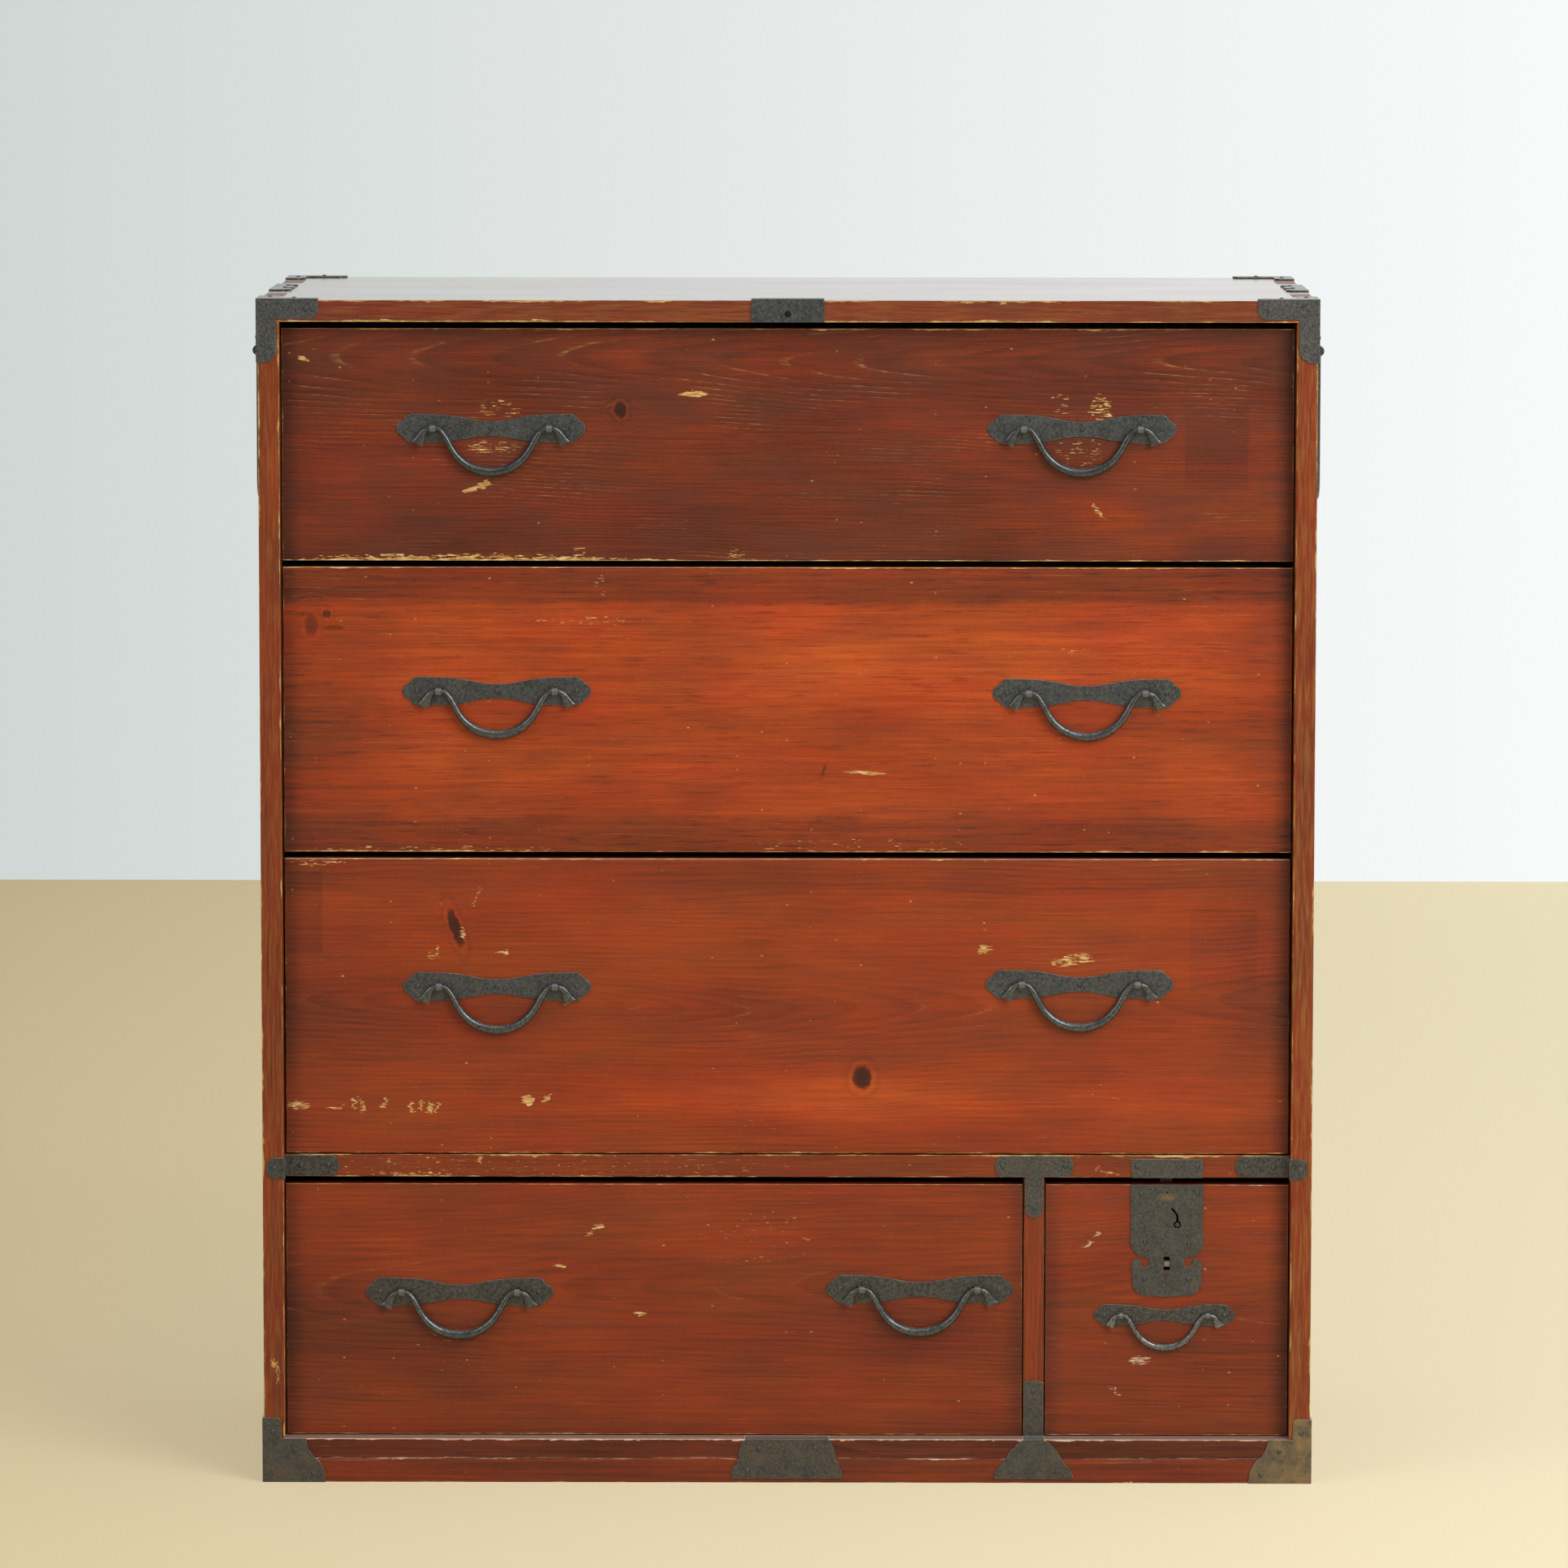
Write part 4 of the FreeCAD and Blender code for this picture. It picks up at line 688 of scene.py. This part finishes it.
@dataclass(frozen=True)
class BlackenedIron:
    """Sheet or bar iron, forged, filed and blackened with burnt lacquer.

    The eye sees a dark neutral grey skin with fine pits, pale specks, edges and knobs rubbed to grey metal,
    and dull ochre rust where it stands near the floor.
    """

    name: str
    rust: float = 0.1
    rubbed: float = 0.15
    lift: float = 0.0
    roughness: float = 0.5
    proud: float = -1000.0
    film: str = "#ffffff"
    rust_shade: str = "#846a40"
    stains: Marks = ()
    seed: float = 0.0

    SHADES = ((0, "#13171b"), (0.4, "#272d32"), (0.7, "#3f464c"), (1, "#676e70"))
    RUBBED = "#b3b1a9"
    DUST_AND_SHEEN = "#a9aca3"

    CLOUDS = Pattern(18, 6, 0)
    PITS = Pattern(1.1, 5, 1)
    BLOOM = Pattern(12, 6, 2, spread=(0.25, 0.7))
    RAGGED = Pattern(5, 5, 3)
    SPECKS = Pattern(1.2, 2, 4, spread=(0.68, 0.78))
    BLOWS = Pattern(7, 2, 5)
    FRETTED = Pattern(2, 3, 6)
    PIT_BUMP = {"Strength": 0.35, "Distance": 0.1 * MM}
    BLOW_BUMP = {"Strength": 0.5, "Distance": 0.3 * MM}

    # Darkest tone, what clouds and pits add to it, and what pits add to the roughness
    GROUND, CLOUD_SHARE, PIT_SHARE, PIT_ROUGHNESS = 0.14, 0.24, 0.3, 0.18

    # Places along the chest in millimetres between which rust grows, and its share there; rim of a stain
    RUST_ENDS, RUST_SHARES = (320, 425), (0.3, 1.6)
    STAIN_FADE = (1, 0.3)

    # How bright eased edges, specks and knobs are, the depth of a knob in millimetres, and pale dust with a painted
    # sheen on faces that look up
    EDGE_SHARE, SPECK_SHARE, KNOB_SHARE, KNOB_DEPTH = 0.5, 0.3, 0.23, 1.5
    FACING_UP = (0.8, 0.95, 0, 0.5)

    def material(self) -> Material:
        """Builds the material.

        Returns:
            The finished material.
        """
        tree = MaterialTree(self.name, self.seed)
        add = tree.add
        spot = tree.place_mm()
        side, depth, _ = add("SeparateXYZ", (spot,)).node.outputs
        cloud = tree.grit(spot, self.CLOUDS)
        pits = tree.grit(spot, self.PITS)
        tone = add(TIMES_PLUS, (cloud, self.CLOUD_SHARE, self.GROUND + self.lift))
        tone = add(TIMES_PLUS, (pits, self.PIT_SHARE, tone))
        film = linear(self.film)
        skin = [(p, tuple(shade * veil for shade, veil in zip(linear(c), film))) for p, c in self.SHADES]
        colour = add("ValToRGB", (tone,), ramp=skin)

        # Rust gathers in clouds and is heavier at the right end of the chest
        lean = add("MapRange", (side, *self.RUST_ENDS, *(share * self.rust for share in self.RUST_SHARES)))
        bloom = add(TIMES, (tree.grit(spot, self.BLOOM), lean))
        for stain in self.stains:
            smear = add("MapRange", (stain.reach(tree, spot), *self.STAIN_FADE, 0.0, stain.fill))
            bloom = add(MOST, (bloom, smear))
        colour = add("Mix", {0: bloom, MIX_A: colour, MIX_B: self.rust_shade}, **MIXED)

        # Rubbed metal: eased edges, specks, what hands have polished, and what stands proud of the plates
        arris = add("Attribute", out="Fac", attribute_name=ARRIS)
        ragged = tree.grit(spot, self.RAGGED)
        bright = add(TIMES, (add(TIMES, (arris, ragged)), self.EDGE_SHARE))
        speck = tree.grit(spot, self.SPECKS)
        knob = add("MapRange", (depth, self.proud, self.proud - self.KNOB_DEPTH, 0.0, self.KNOB_SHARE))
        fret = tree.grit(spot, self.FRETTED)
        for layer, share in ((speck, self.SPECK_SHARE), (fret, self.rubbed), (knob, 1.0)):
            bright = add(MOST, (bright, add(TIMES, (layer, share))))
        colour = add("Mix", {0: bright, MIX_A: colour, MIX_B: self.RUBBED}, **MIXED)
        # Pale dust with a painted sheen on faces that look up
        up = add("SeparateXYZ", (add("TexCoord", out="Normal"),)).node.outputs[2]
        dust_and_sheen = add("MapRange", (up, *self.FACING_UP))
        colour = add("Mix", {0: dust_and_sheen, MIX_A: colour, MIX_B: self.DUST_AND_SHEEN}, **MIXED)
        roughness = add(TIMES_PLUS, (pits, self.PIT_ROUGHNESS, self.roughness - self.PIT_ROUGHNESS / 2))
        blows = tree.grit(spot, self.BLOWS)
        fine = add("Bump", {**self.PIT_BUMP, "Height": pits})
        normal = add("Bump", {**self.BLOW_BUMP, "Height": blows, "Normal": fine})
        return tree.finish(Base_Color=colour, Metallic=0.7, Roughness=roughness, Normal=normal, Coat_Weight=0.5,
                           Coat_Roughness=0.25)


def put(name: str, data: bpy.types.ID) -> bpy.types.Object:
    """Puts an object of a mesh, lamp or lens into the scene.

    Args:
        name: The object's name.
        data: What it shows.

    Returns:
        The object.
    """
    thing = bpy.data.objects.new(name, data)
    bpy.context.scene.collection.objects.link(thing)
    return thing


# Gap that is welded, the angle below which faces are one, and the angle above which an edge is eased
WELD, FLAT, SHARP = 0.001 * MM, math.radians(0.4), math.radians(35.0)


def eased_copy(node: str, arris: float, body: str) -> bpy.types.Object:
    """Makes a piece that stands for a CAD node, with its sharp edges eased and marked for wear.

    Args:
        node: The CAD node.
        arris: Width of the eased edge in millimetres.
        body: The body that the piece rides on.

    Returns:
        The new piece.
    """
    mesh = bmesh.new()
    mesh.from_mesh(NODES[node].data)
    bmesh.ops.remove_doubles(mesh, verts=mesh.verts, dist=WELD)
    bmesh.ops.dissolve_limit(mesh, angle_limit=FLAT, verts=mesh.verts, edges=mesh.edges)
    layer = mesh.faces.layers.float.new(ARRIS)
    sharp = [e for e in mesh.edges if len(e.link_faces) == 2 and e.calc_face_angle() > SHARP]
    made = bmesh.ops.bevel(mesh, geom=sharp, offset=arris * MM, offset_type="OFFSET", segments=2, profile=0.5,
                           affect="EDGES", clamp_overlap=True)
    for face in made["faces"]:
        face[layer] = 1.0
    for face in mesh.faces:
        face.smooth = True
    piece = put(f"eased_{node}", bpy.data.meshes.new(f"eased_{node}"))
    mesh.to_mesh(piece.data)
    mesh.free()
    piece.modifiers.new("face_weighted", "WEIGHTED_NORMAL")
    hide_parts(node)
    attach(piece, body)
    return piece


def dress(pieces: Iterable[bpy.types.Object], finish: "Material | IronFinish") -> None:
    """Gives pieces a material in place of what they have.

    Args:
        pieces: The pieces.
        finish: The material, or the iron finish that has it.
    """
    material = finish.material if isinstance(finish, IronFinish) else finish
    for piece in pieces:
        piece.data.materials.clear()
        piece.data.materials.append(material)


# Brown tint for the irons on the lower part of the chest, which makes them darker and warmer
LOW_TINT = "#e2d0bf"


class IronFinish(Enum):
    """The chest's iron finishes."""

    SHEET = BlackenedIron("blackened_sheet_iron", rust=0.05, roughness=0.45, seed=60)
    CORNER = BlackenedIron("scuffed_corner_iron", rust=0.05, rubbed=0.2, roughness=0.45, seed=69)
    STRAP = BlackenedIron("low_tinted_sheet_iron", rust=0.05, roughness=0.45, film=LOW_TINT, seed=67)
    TEE = BlackenedIron("low_tinted_strap_iron", rust=0.3, lift=0.16, film=LOW_TINT, seed=68)
    BASE = BlackenedIron("rusted_sheet_iron", rust=0.8, rubbed=0.11, lift=-0.12, roughness=0.58, seed=61)
    BAR = BlackenedIron("burnished_bar_iron", rust=0.03, rubbed=0.2, roughness=0.3, seed=62)
    PIN = BlackenedIron("filed_eye_iron", rust=0.05, lift=0.02, roughness=0.42, proud=-191.8, seed=63)
    NAIL = BlackenedIron("forged_nail_iron", rust=0.25, rubbed=0.12, lift=0.06, seed=66)
    LOCK = BlackenedIron("browned_sheet_iron", rust=0.45, rubbed=0.12, lift=-0.07, seed=64,
                         stains=marks((308.6, 233, 22, 9, 0.55)))
    BUTTON = BlackenedIron("rusted_bolt_iron", rust=4.0, rubbed=0.2, lift=0.3, rust_shade="#8f6d5c", seed=65)

    @cached_property
    def material(self) -> Material:
        """Makes the finish's material once, to be shared."""
        return self.value.material()


@dataclass
class Carcase:
    """The fixed case: panels, rails, inner boards, irons, nails, eyes and carry handles; sizes in millimetres."""

    arris: float = 1.0
    iron_arris: float = 0.3

    BOARDS = {
        "left_side_panel": LacqueredCedar(
            "left_side", Grain.UPRIGHT, level=0.46, rim=0.35, wear=2.0, patina=0.4, seed=21,
            rings=Rings(depth=90, contrast=0.06),
            chips=marks((-416, 96, 2.6, 18, 0.5, 28), (-413, 88, 2.4, 20, 0.45, 8))),
        "right_side_panel": LacqueredCedar(
            "right_side", Grain.UPRIGHT, level=0.49, rim=0.35, wear=2.0, patina=0.6, seed=22,
            rings=Rings(depth=90, contrast=0.06)),
        "top_panel": LacqueredCedar(
            "top", Grain.LYING, level=0.44, rim=0.35, wear=3.0, patina=0.3, gloss=0.95, seed=23,
            rings=Rings(depth=80, tilt=0.05, contrast=0.08)),
        # The ledge's open top takes a painted reflection of the room
        "bottom_panel": LacqueredCedar(
            "ledge", Grain.LYING, level=0.27, rim=0.35, wear=0.8, bare=BareWood.PALE, edge_highlight=0.7,
            face_reflection=0.28, seed=24, rubs=marks((0, 36, 1200, 6, 2))),
        "plinth_rails": LacqueredCedar(
            "plinth", level=0.43, rim=0.35, wear=1.2, bare=BareWood.PALE, streaks=0.22, seed=25),
        "mid_rail": LacqueredCedar(
            "rail", level=0.48, rim=0.4, wear=2.2, patina=0.12, bare=BareWood.GOLDEN, seed=26,
            chips=marks(
                (-200, 258, 500, 26, 0.19), (-322, 262, 6, 5, 0.45), (-250, 263, 4, 9, 0.5, 10),
                (-305, 251, 80, 4, 0.34), (252, 256, 8, 2, 0.45, 55), (262, 252.5, 22, 2.2, 0.42, -8),
                (310, 266.5, 56, 2.6, 0.5))),
        "partition": LacqueredCedar(
            "partition", Grain.UPRIGHT, level=0.48, rim=0.3, wear=0.5, patina=0.15, seed=27),
    }
    PLAIN = {"back_boards": Grain.UPRIGHT, "mid_shelf": Grain.LYING, "drawer_runners": Grain.INWARD}
    PLAIN_SEED = 40.0
    SEAMS = (-136.0, 136.0)
    IRONS = {
        IronFinish.CORNER: ("top_corner_irons", "top_edge_straps"),
        IronFinish.SHEET: ("top_edge_plate",),
        IronFinish.STRAP: ("rail_end_straps",),
        IronFinish.TEE: ("partition_t_strap", "strike_plate"),
        IronFinish.BASE: ("base_corner_irons", "base_centre_iron", "partition_foot_strap"),
    }

    def build(self) -> None:
        """Makes the eased boards and irons."""
        self.boards = {n: eased_copy(n, self.arris, "case") for n in self.BOARDS}
        self.plain = {n: eased_copy(n, self.arris, "case") for n in self.PLAIN}
        self.irons = {n: eased_copy(n, self.iron_arris, "case")
                      for nodes in self.IRONS.values() for n in nodes}
        LOG.info("case: %d boards, %d irons", len(self.boards) + len(self.plain), len(self.irons))

    def dress(self) -> None:
        """Gives boards, irons and carry handles their finishes."""
        for node, finish in self.BOARDS.items():
            dress([self.boards[node]], finish.material(*map(Vector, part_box(node))))
        for i, (node, grain) in enumerate(self.PLAIN.items()):
            seams = self.SEAMS if node == "back_boards" else ()
            plain = PlanedPaulownia(node, grain, self.PLAIN_SEED + i, seams)
            dress([self.plain[node]], plain.material())
        for iron, nodes in self.IRONS.items():
            dress((self.irons[n] for n in nodes), iron)
        dress([NODES["carcase_nails"]], IronFinish.NAIL)
        dress([NODES["carry_handle_eyes"]], IronFinish.SHEET)
        dress((NODES[f"{hand}_carry_handle"] for hand in ("left", "right")), IronFinish.BAR)


@dataclass
class Drawer:
    """One drawer: its lacquered front, plain box, handle plates, eyes and bails; sizes in millimetres."""

    name: str
    finish: LacqueredCedar
    bails: tuple[str, ...] = ("left_bail", "right_bail")
    polish: float = 0.2
    # Whether the handle plates take the brown tint of the lower irons
    low_tinted: bool = False
    arris: float = 1.1
    iron_arris: float = 0.3

    BAIL_SEED = 62.0

    def build(self) -> None:
        """Makes the eased front, box and handle plates."""
        self.front = eased_copy(f"{self.name}_front", self.arris, self.name)
        self.walls = eased_copy(f"{self.name}_walls", self.arris, self.name)
        self.floor = eased_copy(f"{self.name}_bottom", self.arris, self.name)
        self.plates = eased_copy(f"{self.name}_handle_plates", self.iron_arris, self.name)
        LOG.info("%s: front, box and %d handles", self.name, len(self.bails))

    def dress(self) -> None:
        """Gives the drawer its finishes."""
        dress([self.front], self.finish.material(*map(Vector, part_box(f"{self.name}_front"))))
        for part, piece, grain in (("walls", self.walls, Grain.INWARD), ("floor", self.floor, Grain.LYING)):
            plain = PlanedPaulownia(f"{self.name}_{part}", grain, self.finish.seed)
            dress([piece], plain.material())
        dress([self.plates], IronFinish.STRAP if self.low_tinted else IronFinish.SHEET)
        dress([NODES[f"{self.name}_handle_pins"]], IronFinish.PIN)
        handled = BlackenedIron(f"burnished_bar_iron_{self.name}", rust=0.03, rubbed=self.polish, roughness=0.3,
                                seed=self.BAIL_SEED + self.finish.seed)
        dress((NODES[f"{self.name}_{b}"] for b in self.bails), handled.material())


@dataclass
class Lock:
    """The lock of the narrow drawer: plate, case and bolt; sizes in millimetres."""

    iron_arris: float = 0.2

    def build(self) -> None:
        """Makes the eased plate."""
        self.plate = eased_copy("lock_plate", self.iron_arris, "lock_drawer")
        LOG.info("lock: plate, case and bolt")

    def dress(self) -> None:
        """Gives the lock its finishes."""
        dress([self.plate], IronFinish.LOCK)
        dress([NODES["lock_case"]], IronFinish.SHEET)
        dress([NODES["lock_bolt"]], IronFinish.BUTTON)


@dataclass
class Studio:
    """Floor, wall, soft light and the camera at the photograph's angle; sizes in millimetres and degrees."""

    eye: tuple[float, float, float] = (30, -6714, 1271)
    pitch: float = 6.134
    yaw: float = 0.288
    roll: float = 0.046
    focal_px: float = 10008.0
    image_px: float = 1932.0
    sensor: float = 36.0
    wall_y: float = 3920.0
    reach: float = 14000.0
    half_view: float = 1030.0
    farthest: float = 100000.0
    aim: tuple[float, float, float] = (0, 0, 500)
    room_light: float = 0.28
    room_shown: float = 0.9
    floor_shown: float = 0.55
    wall_shown: float = 1.0

    ROOM = "#f4f5f7"
    # Colours at the left and right, with painted light that makes the window side lighter
    WALL = ("#d0d7d4", "#f9fbfb")
    FLOOR = ("#d7c49c", "#fff3cf")

    # Place, width and watts of each lamp
    LAMPS = {
        "right_softbox": ((2600, -3600, 3000), 2600, 170),
        "left_softbox": ((-3200, -3200, 2200), 2600, 50),
        "overhead_softbox": ((300, -900, 3900), 3000, 45),
    }

    def build(self) -> None:
        """Sets up the stage, the lamps and the camera."""
        self.build_stage()
        self.build_light()
        self.build_camera()
        bpy.context.scene.view_settings.view_transform = "Standard"
        LOG.info("studio: floor, wall, lamps and camera")

    def build_stage(self) -> None:
        """Makes a pale floor and a pale wall behind, with painted light that makes both lighter towards the window
        side.
        """
        far, back = self.reach * MM, self.wall_y * MM
        floor = [(-far, -far, 0.0), (far, -far, 0.0), (far, back, 0.0), (-far, back, 0.0)]
        wall = [(-far, back, 0.0), (far, back, 0.0), (far, back, far), (-far, back, far)]
        panes = (("floor", floor, self.FLOOR, self.floor_shown), ("wall", wall, self.WALL, self.wall_shown))
        for name, corners, shades, shown in panes:
            mesh = bpy.data.meshes.new(name)
            mesh.from_pydata(corners, [], [(0, 1, 2, 3)])
            pane = put(name, mesh)
            dress([pane], self.window_lit(f"painted_{name}", shades, shown))

    def window_lit(self, name: str, shades: tuple[str, str], shown: float) -> Material:
        """Makes a matt paint with painted light, going from a shaded colour at the left to a lit one at the right.

        Args:
            name: Name of the material.
            shades: The colours at the left and right of the view.
            shown: How far the camera and reflections see the plain colour instead of the lit one.

        Returns:
            The finished material.
        """
        tree = MaterialTree(name)
        add = tree.add
        side = add("SeparateXYZ", (tree.place_mm(),))
        place = add("MapRange", (side, -self.half_view, self.half_view, 0.0, 1.0))
        colour = add("ValToRGB", (place,), ramp=enumerate(shades))
        matt = add("BsdfDiffuse", (colour,))
        plain = add("Emission", (colour,))
        path = add("LightPath").node.outputs
        seen = path["Is Camera Ray"]
        for ray in ("Is Glossy Ray", "Is Transmission Ray"):
            seen = add(MOST, (seen, path[ray]))
        seen = add(TIMES, (seen, shown))
        front = add("MixShader", (seen, matt, plain))

        # Nothing hides the chest from a view behind the wall
        reverse = add("NewGeometry", out="Backfacing")
        return tree.close(add("MixShader", (reverse, front, add("BsdfTransparent"))))

    def build_light(self) -> None:
        """Hangs large soft lamps at the right, at the left and above, in an even pale room."""
        world = bpy.data.worlds.new("soft_room")
        world.use_nodes = True
        sky = world.node_tree.nodes["Background"].inputs
        sky["Color"].default_value = linear(self.ROOM)
        path = world.node_tree.nodes.new("ShaderNodeLightPath")
        level = world.node_tree.nodes.new("ShaderNodeMapRange")
        level.inputs["To Min"].default_value = self.room_light
        level.inputs["To Max"].default_value = self.room_shown
        world.node_tree.links.new(path.outputs["Is Camera Ray"], level.inputs["Value"])
        world.node_tree.links.new(level.outputs["Result"], sky["Strength"])
        bpy.context.scene.world = world
        for name, (place, size, watts) in self.LAMPS.items():
            lamp = bpy.data.lights.new(name, "AREA")
            lamp.size = size * MM
            lamp.energy = watts
            aim = (Vector(self.aim) * MM - Vector(place) * MM).to_track_quat("-Z", "Y")
            put(name, lamp).matrix_world = Matrix.Translation(Vector(place) * MM) @ aim.to_matrix().to_4x4()

    def build_camera(self) -> None:
        """Places the camera where the photograph was taken from."""
        lens = bpy.data.cameras.new("photo_camera")
        lens.sensor_width = self.sensor
        lens.sensor_fit = "HORIZONTAL"
        lens.lens = self.sensor * self.focal_px / self.image_px
        lens.clip_end = self.farthest * MM
        camera = put("photo_camera", lens)
        turn = (Matrix.Rotation(math.radians(self.yaw), 4, "Z")
                @ Matrix.Rotation(math.radians(90 - self.pitch), 4, "X")
                @ Matrix.Rotation(math.radians(self.roll), 4, "Z"))
        camera.matrix_world = Matrix.Translation(Vector(self.eye) * MM) @ turn
        bpy.context.scene.camera = camera


DRAWERS = (
    Drawer("top_drawer", LacqueredCedar(
        "top_drawer", level=0.37, wear=1.9, seed=1, hairs=0.5, haze=0.6,
        bare=BareWood.GOLDEN, end_shade=0.16, edge_highlight=0.35,
        rings=Rings(spacing=3, contrast=0.13, pith=912, depth=205, middle=300, tilt=-0.05),
        rubs=marks((-250, 750.6, 330, 26, 4)),
        bands=((0, 0.44), (0.15, 0.48), (0.42, 0.52), (0.55, 0.56), (0.72, 0.48), (0.9, 0.52), (1, 0.42)),
        # The last two patches are painted shade round the handles
        patches=marks(
            (290, 790, 340, 120, 0.19), (-40, 870, 320, 110, -0.05), (-254, 858, 200, 80, -0.06),
            (251, 858, 200, 80, -0.06)),
        knots=marks((-134.6, 872.2, 11, 15, 0.92)),
        ghosts=marks((345, 843, 51, 68, 0.07)),
        chips=marks(
            (-253, 808.5, 17, 5, 0.7, 20), (-244, 812.5, 12, 5, 0.7, 38), (-75.5, 885.3, 24, 5, 0.62),
            (-231, 873, 46, 20, 0.26), (-238, 842, 54, 14, 0.3), (251, 872, 20, 30, 0.34),
            (218, 876, 22, 26, 0.24), (235, 839, 50, 30, 0.22), (250.7, 790.3, 22, 2.6, 0.5, -48),
            (-167, 757, 16, 12, 0.34), (-41, 757, 20, 10, 0.3), (-270, 752, 300, 10, 0.36),
            (-389, 913, 9, 4, 0.7, -25)),
    ), polish=0.12),
    Drawer("second_drawer", LacqueredCedar(
        "second_drawer", level=0.7, wear=1.6, seed=2, streaks=0.18, dashes=0.2,
        bare=BareWood.GOLDEN, end_shade=0.16, edge_highlight=0.25,
        rings=Rings(spacing=6, contrast=0.04, pith=900, depth=330),
        bands=((0, 0.24), (0.1, 0.26), (0.135, 0.48), (0.3, 0.52), (0.45, 0.5), (0.6, 0.6), (0.8, 0.54),
               (0.862, 0.52), (0.888, 0.26), (1, 0.26)),
        # The last two patches are painted shade round the handles
        patches=marks(
            (-420, 620, 330, 300, -0.3), (425, 655, 200, 300, -0.19), (60, 672, 320, 60, 0.08),
            (-250, 640, 200, 80, -0.06), (255, 640, 200, 80, -0.06)),
        knots=marks(
            (-371.4, 707.2, 8, 8, 0.75), (-365, 696, 18, 5, 0.45), (-384, 698, 12, 20, 0.5),
            (29, 581, 3, 14, 0.55, -12)),
        chips=marks(
            (62.3, 579.2, 38, 4, 0.55, -2), (-150, 731, 8, 30, 0.24), (-166, 702, 120, 9, 0.24),
            (-280, 516, 260, 7, 0.27), (60, 520, 240, 14, 0.2), (232, 678, 30, 8, 0.25)),
    )),
    Drawer("third_drawer", LacqueredCedar(
        "third_drawer", level=0.61, wear=1.6, seed=3, bare=BareWood.GOLDEN, end_shade=0.16, edge_highlight=0.25,
        rings=Rings(spacing=4, contrast=0.13, pith=390, depth=230, middle=228, bow=-0.09),
        bands=((0, 0.44), (0.1, 0.5), (0.15, 0.58), (0.3, 0.5), (0.48, 0.43), (0.6, 0.5), (0.8, 0.53),
               (0.87, 0.55), (0.905, 0.44), (1, 0.42)),
        # The last two patches are painted shade round the handles
        patches=marks(
            (-400, 380, 300, 300, -0.17), (40, 314, 640, 60, 0.16), (410, 380, 180, 300, -0.16),
            (-250, 384, 200, 80, -0.05), (252, 384, 200, 80, -0.05)),
        knots=marks((-268.8, 453, 10, 36, 0.9, 18), (60.8, 330.3, 17, 22, 0.95)),
        ghosts=marks((-391, 465, 29, 67, 0.11), (353, 435, 54, 66, 0.06)),
        chips=marks(
            (-262.5, 449, 4, 18, 0.4, 18), (-397, 307, 22, 9, 0.42), (-368, 305, 16, 2.5, 0.55),
            (-351, 309, 3, 12, 0.6, -10), (-345, 307, 3, 14, 0.6, 12), (-327, 309, 2.4, 11, 0.6, -20),
            (-305, 306, 3, 12, 0.6, 10), (-297, 307, 3, 10, 0.6, -10), (-290, 305, 4, 13, 0.62, 5),
            (-284, 306, 3, 12, 0.6, -12), (-210, 311, 11, 10, 0.8), (-195.3, 313, 10, 5, 0.6, 40),
            (230.8, 426.8, 42, 12, 0.4, 8), (158.5, 435.3, 12, 7, 0.55, 20), (-286.4, 431.3, 12, 18, 0.3),
            (-230, 433, 14, 6, 0.4, 15), (-251, 478, 1.6, 24, 0.45, -28), (-380, 506, 60, 8, 0.3)),
    )),
    Drawer("bottom_drawer", LacqueredCedar(
        "bottom_drawer", level=0.5, wear=1.0, seed=4, bare=BareWood.GOLDEN, rim=0.3, end_shade=0.16, edge_highlight=0.9,
        # The last two patches are painted shade round the handles
        patches=marks(
            (-380, 140, 240, 240, -0.1), (-60, 205, 320, 60, 0.06), (-270, 124, 200, 80, -0.06),
            (120, 124, 200, 80, -0.05)),
        rings=Rings(spacing=3.2, contrast=0.11, pith=158, depth=232, middle=-66, tilt=-0.05),
        bands=((0, 0.48), (0.15, 0.5), (0.35, 0.46), (0.5, 0.49), (0.75, 0.52), (1, 0.56)),
        chips=marks(
            (-152.7, 208.1, 9, 4, 0.5, 30), (-160.6, 202.1, 8, 3, 0.5, 20), (-185.1, 175.3, 8, 4, 0.5, 10),
            (-120.4, 136, 9, 4, 0.5), (-20, 200, 140, 60, 0.16), (-270, 110, 60, 60, 0.15)),
    ), low_tinted=True, arris=2.2),
    Drawer("lock_drawer", LacqueredCedar(
        "lock_drawer", level=0.5, wear=1.0, seed=5, bare=BareWood.PALE, rim=0.3, end_shade=0.16, edge_highlight=0.9,
        rings=Rings(spacing=3.2, contrast=0.11, pith=140, depth=230, middle=330, tilt=-0.06),
        patches=marks((235, 200, 90, 120, 0.08)),
        bands=((0, 0.51), (0.15, 0.5), (0.35, 0.45), (0.6, 0.5), (1, 0.54)),
        chips=marks(
            (245, 194, 13, 2.4, 0.7, 28), (252, 202.5, 9, 2.6, 0.7, 24), (286.5, 98.6, 22, 9, 0.4, 5),
            (268.1, 72.4, 18, 3, 0.4, -40)),
    ), ("bail",), polish=0.45, low_tinted=True, arris=2.2),
)


def main() -> None:
    """Builds and dresses the chest, then sets up the studio."""
    logging.basicConfig(level=logging.INFO, format="%(name)s: %(message)s")
    for part in (Carcase(), *DRAWERS, Lock()):
        part.build()
        part.dress()
    Studio().build()


if __name__ == "__main__":
    main()
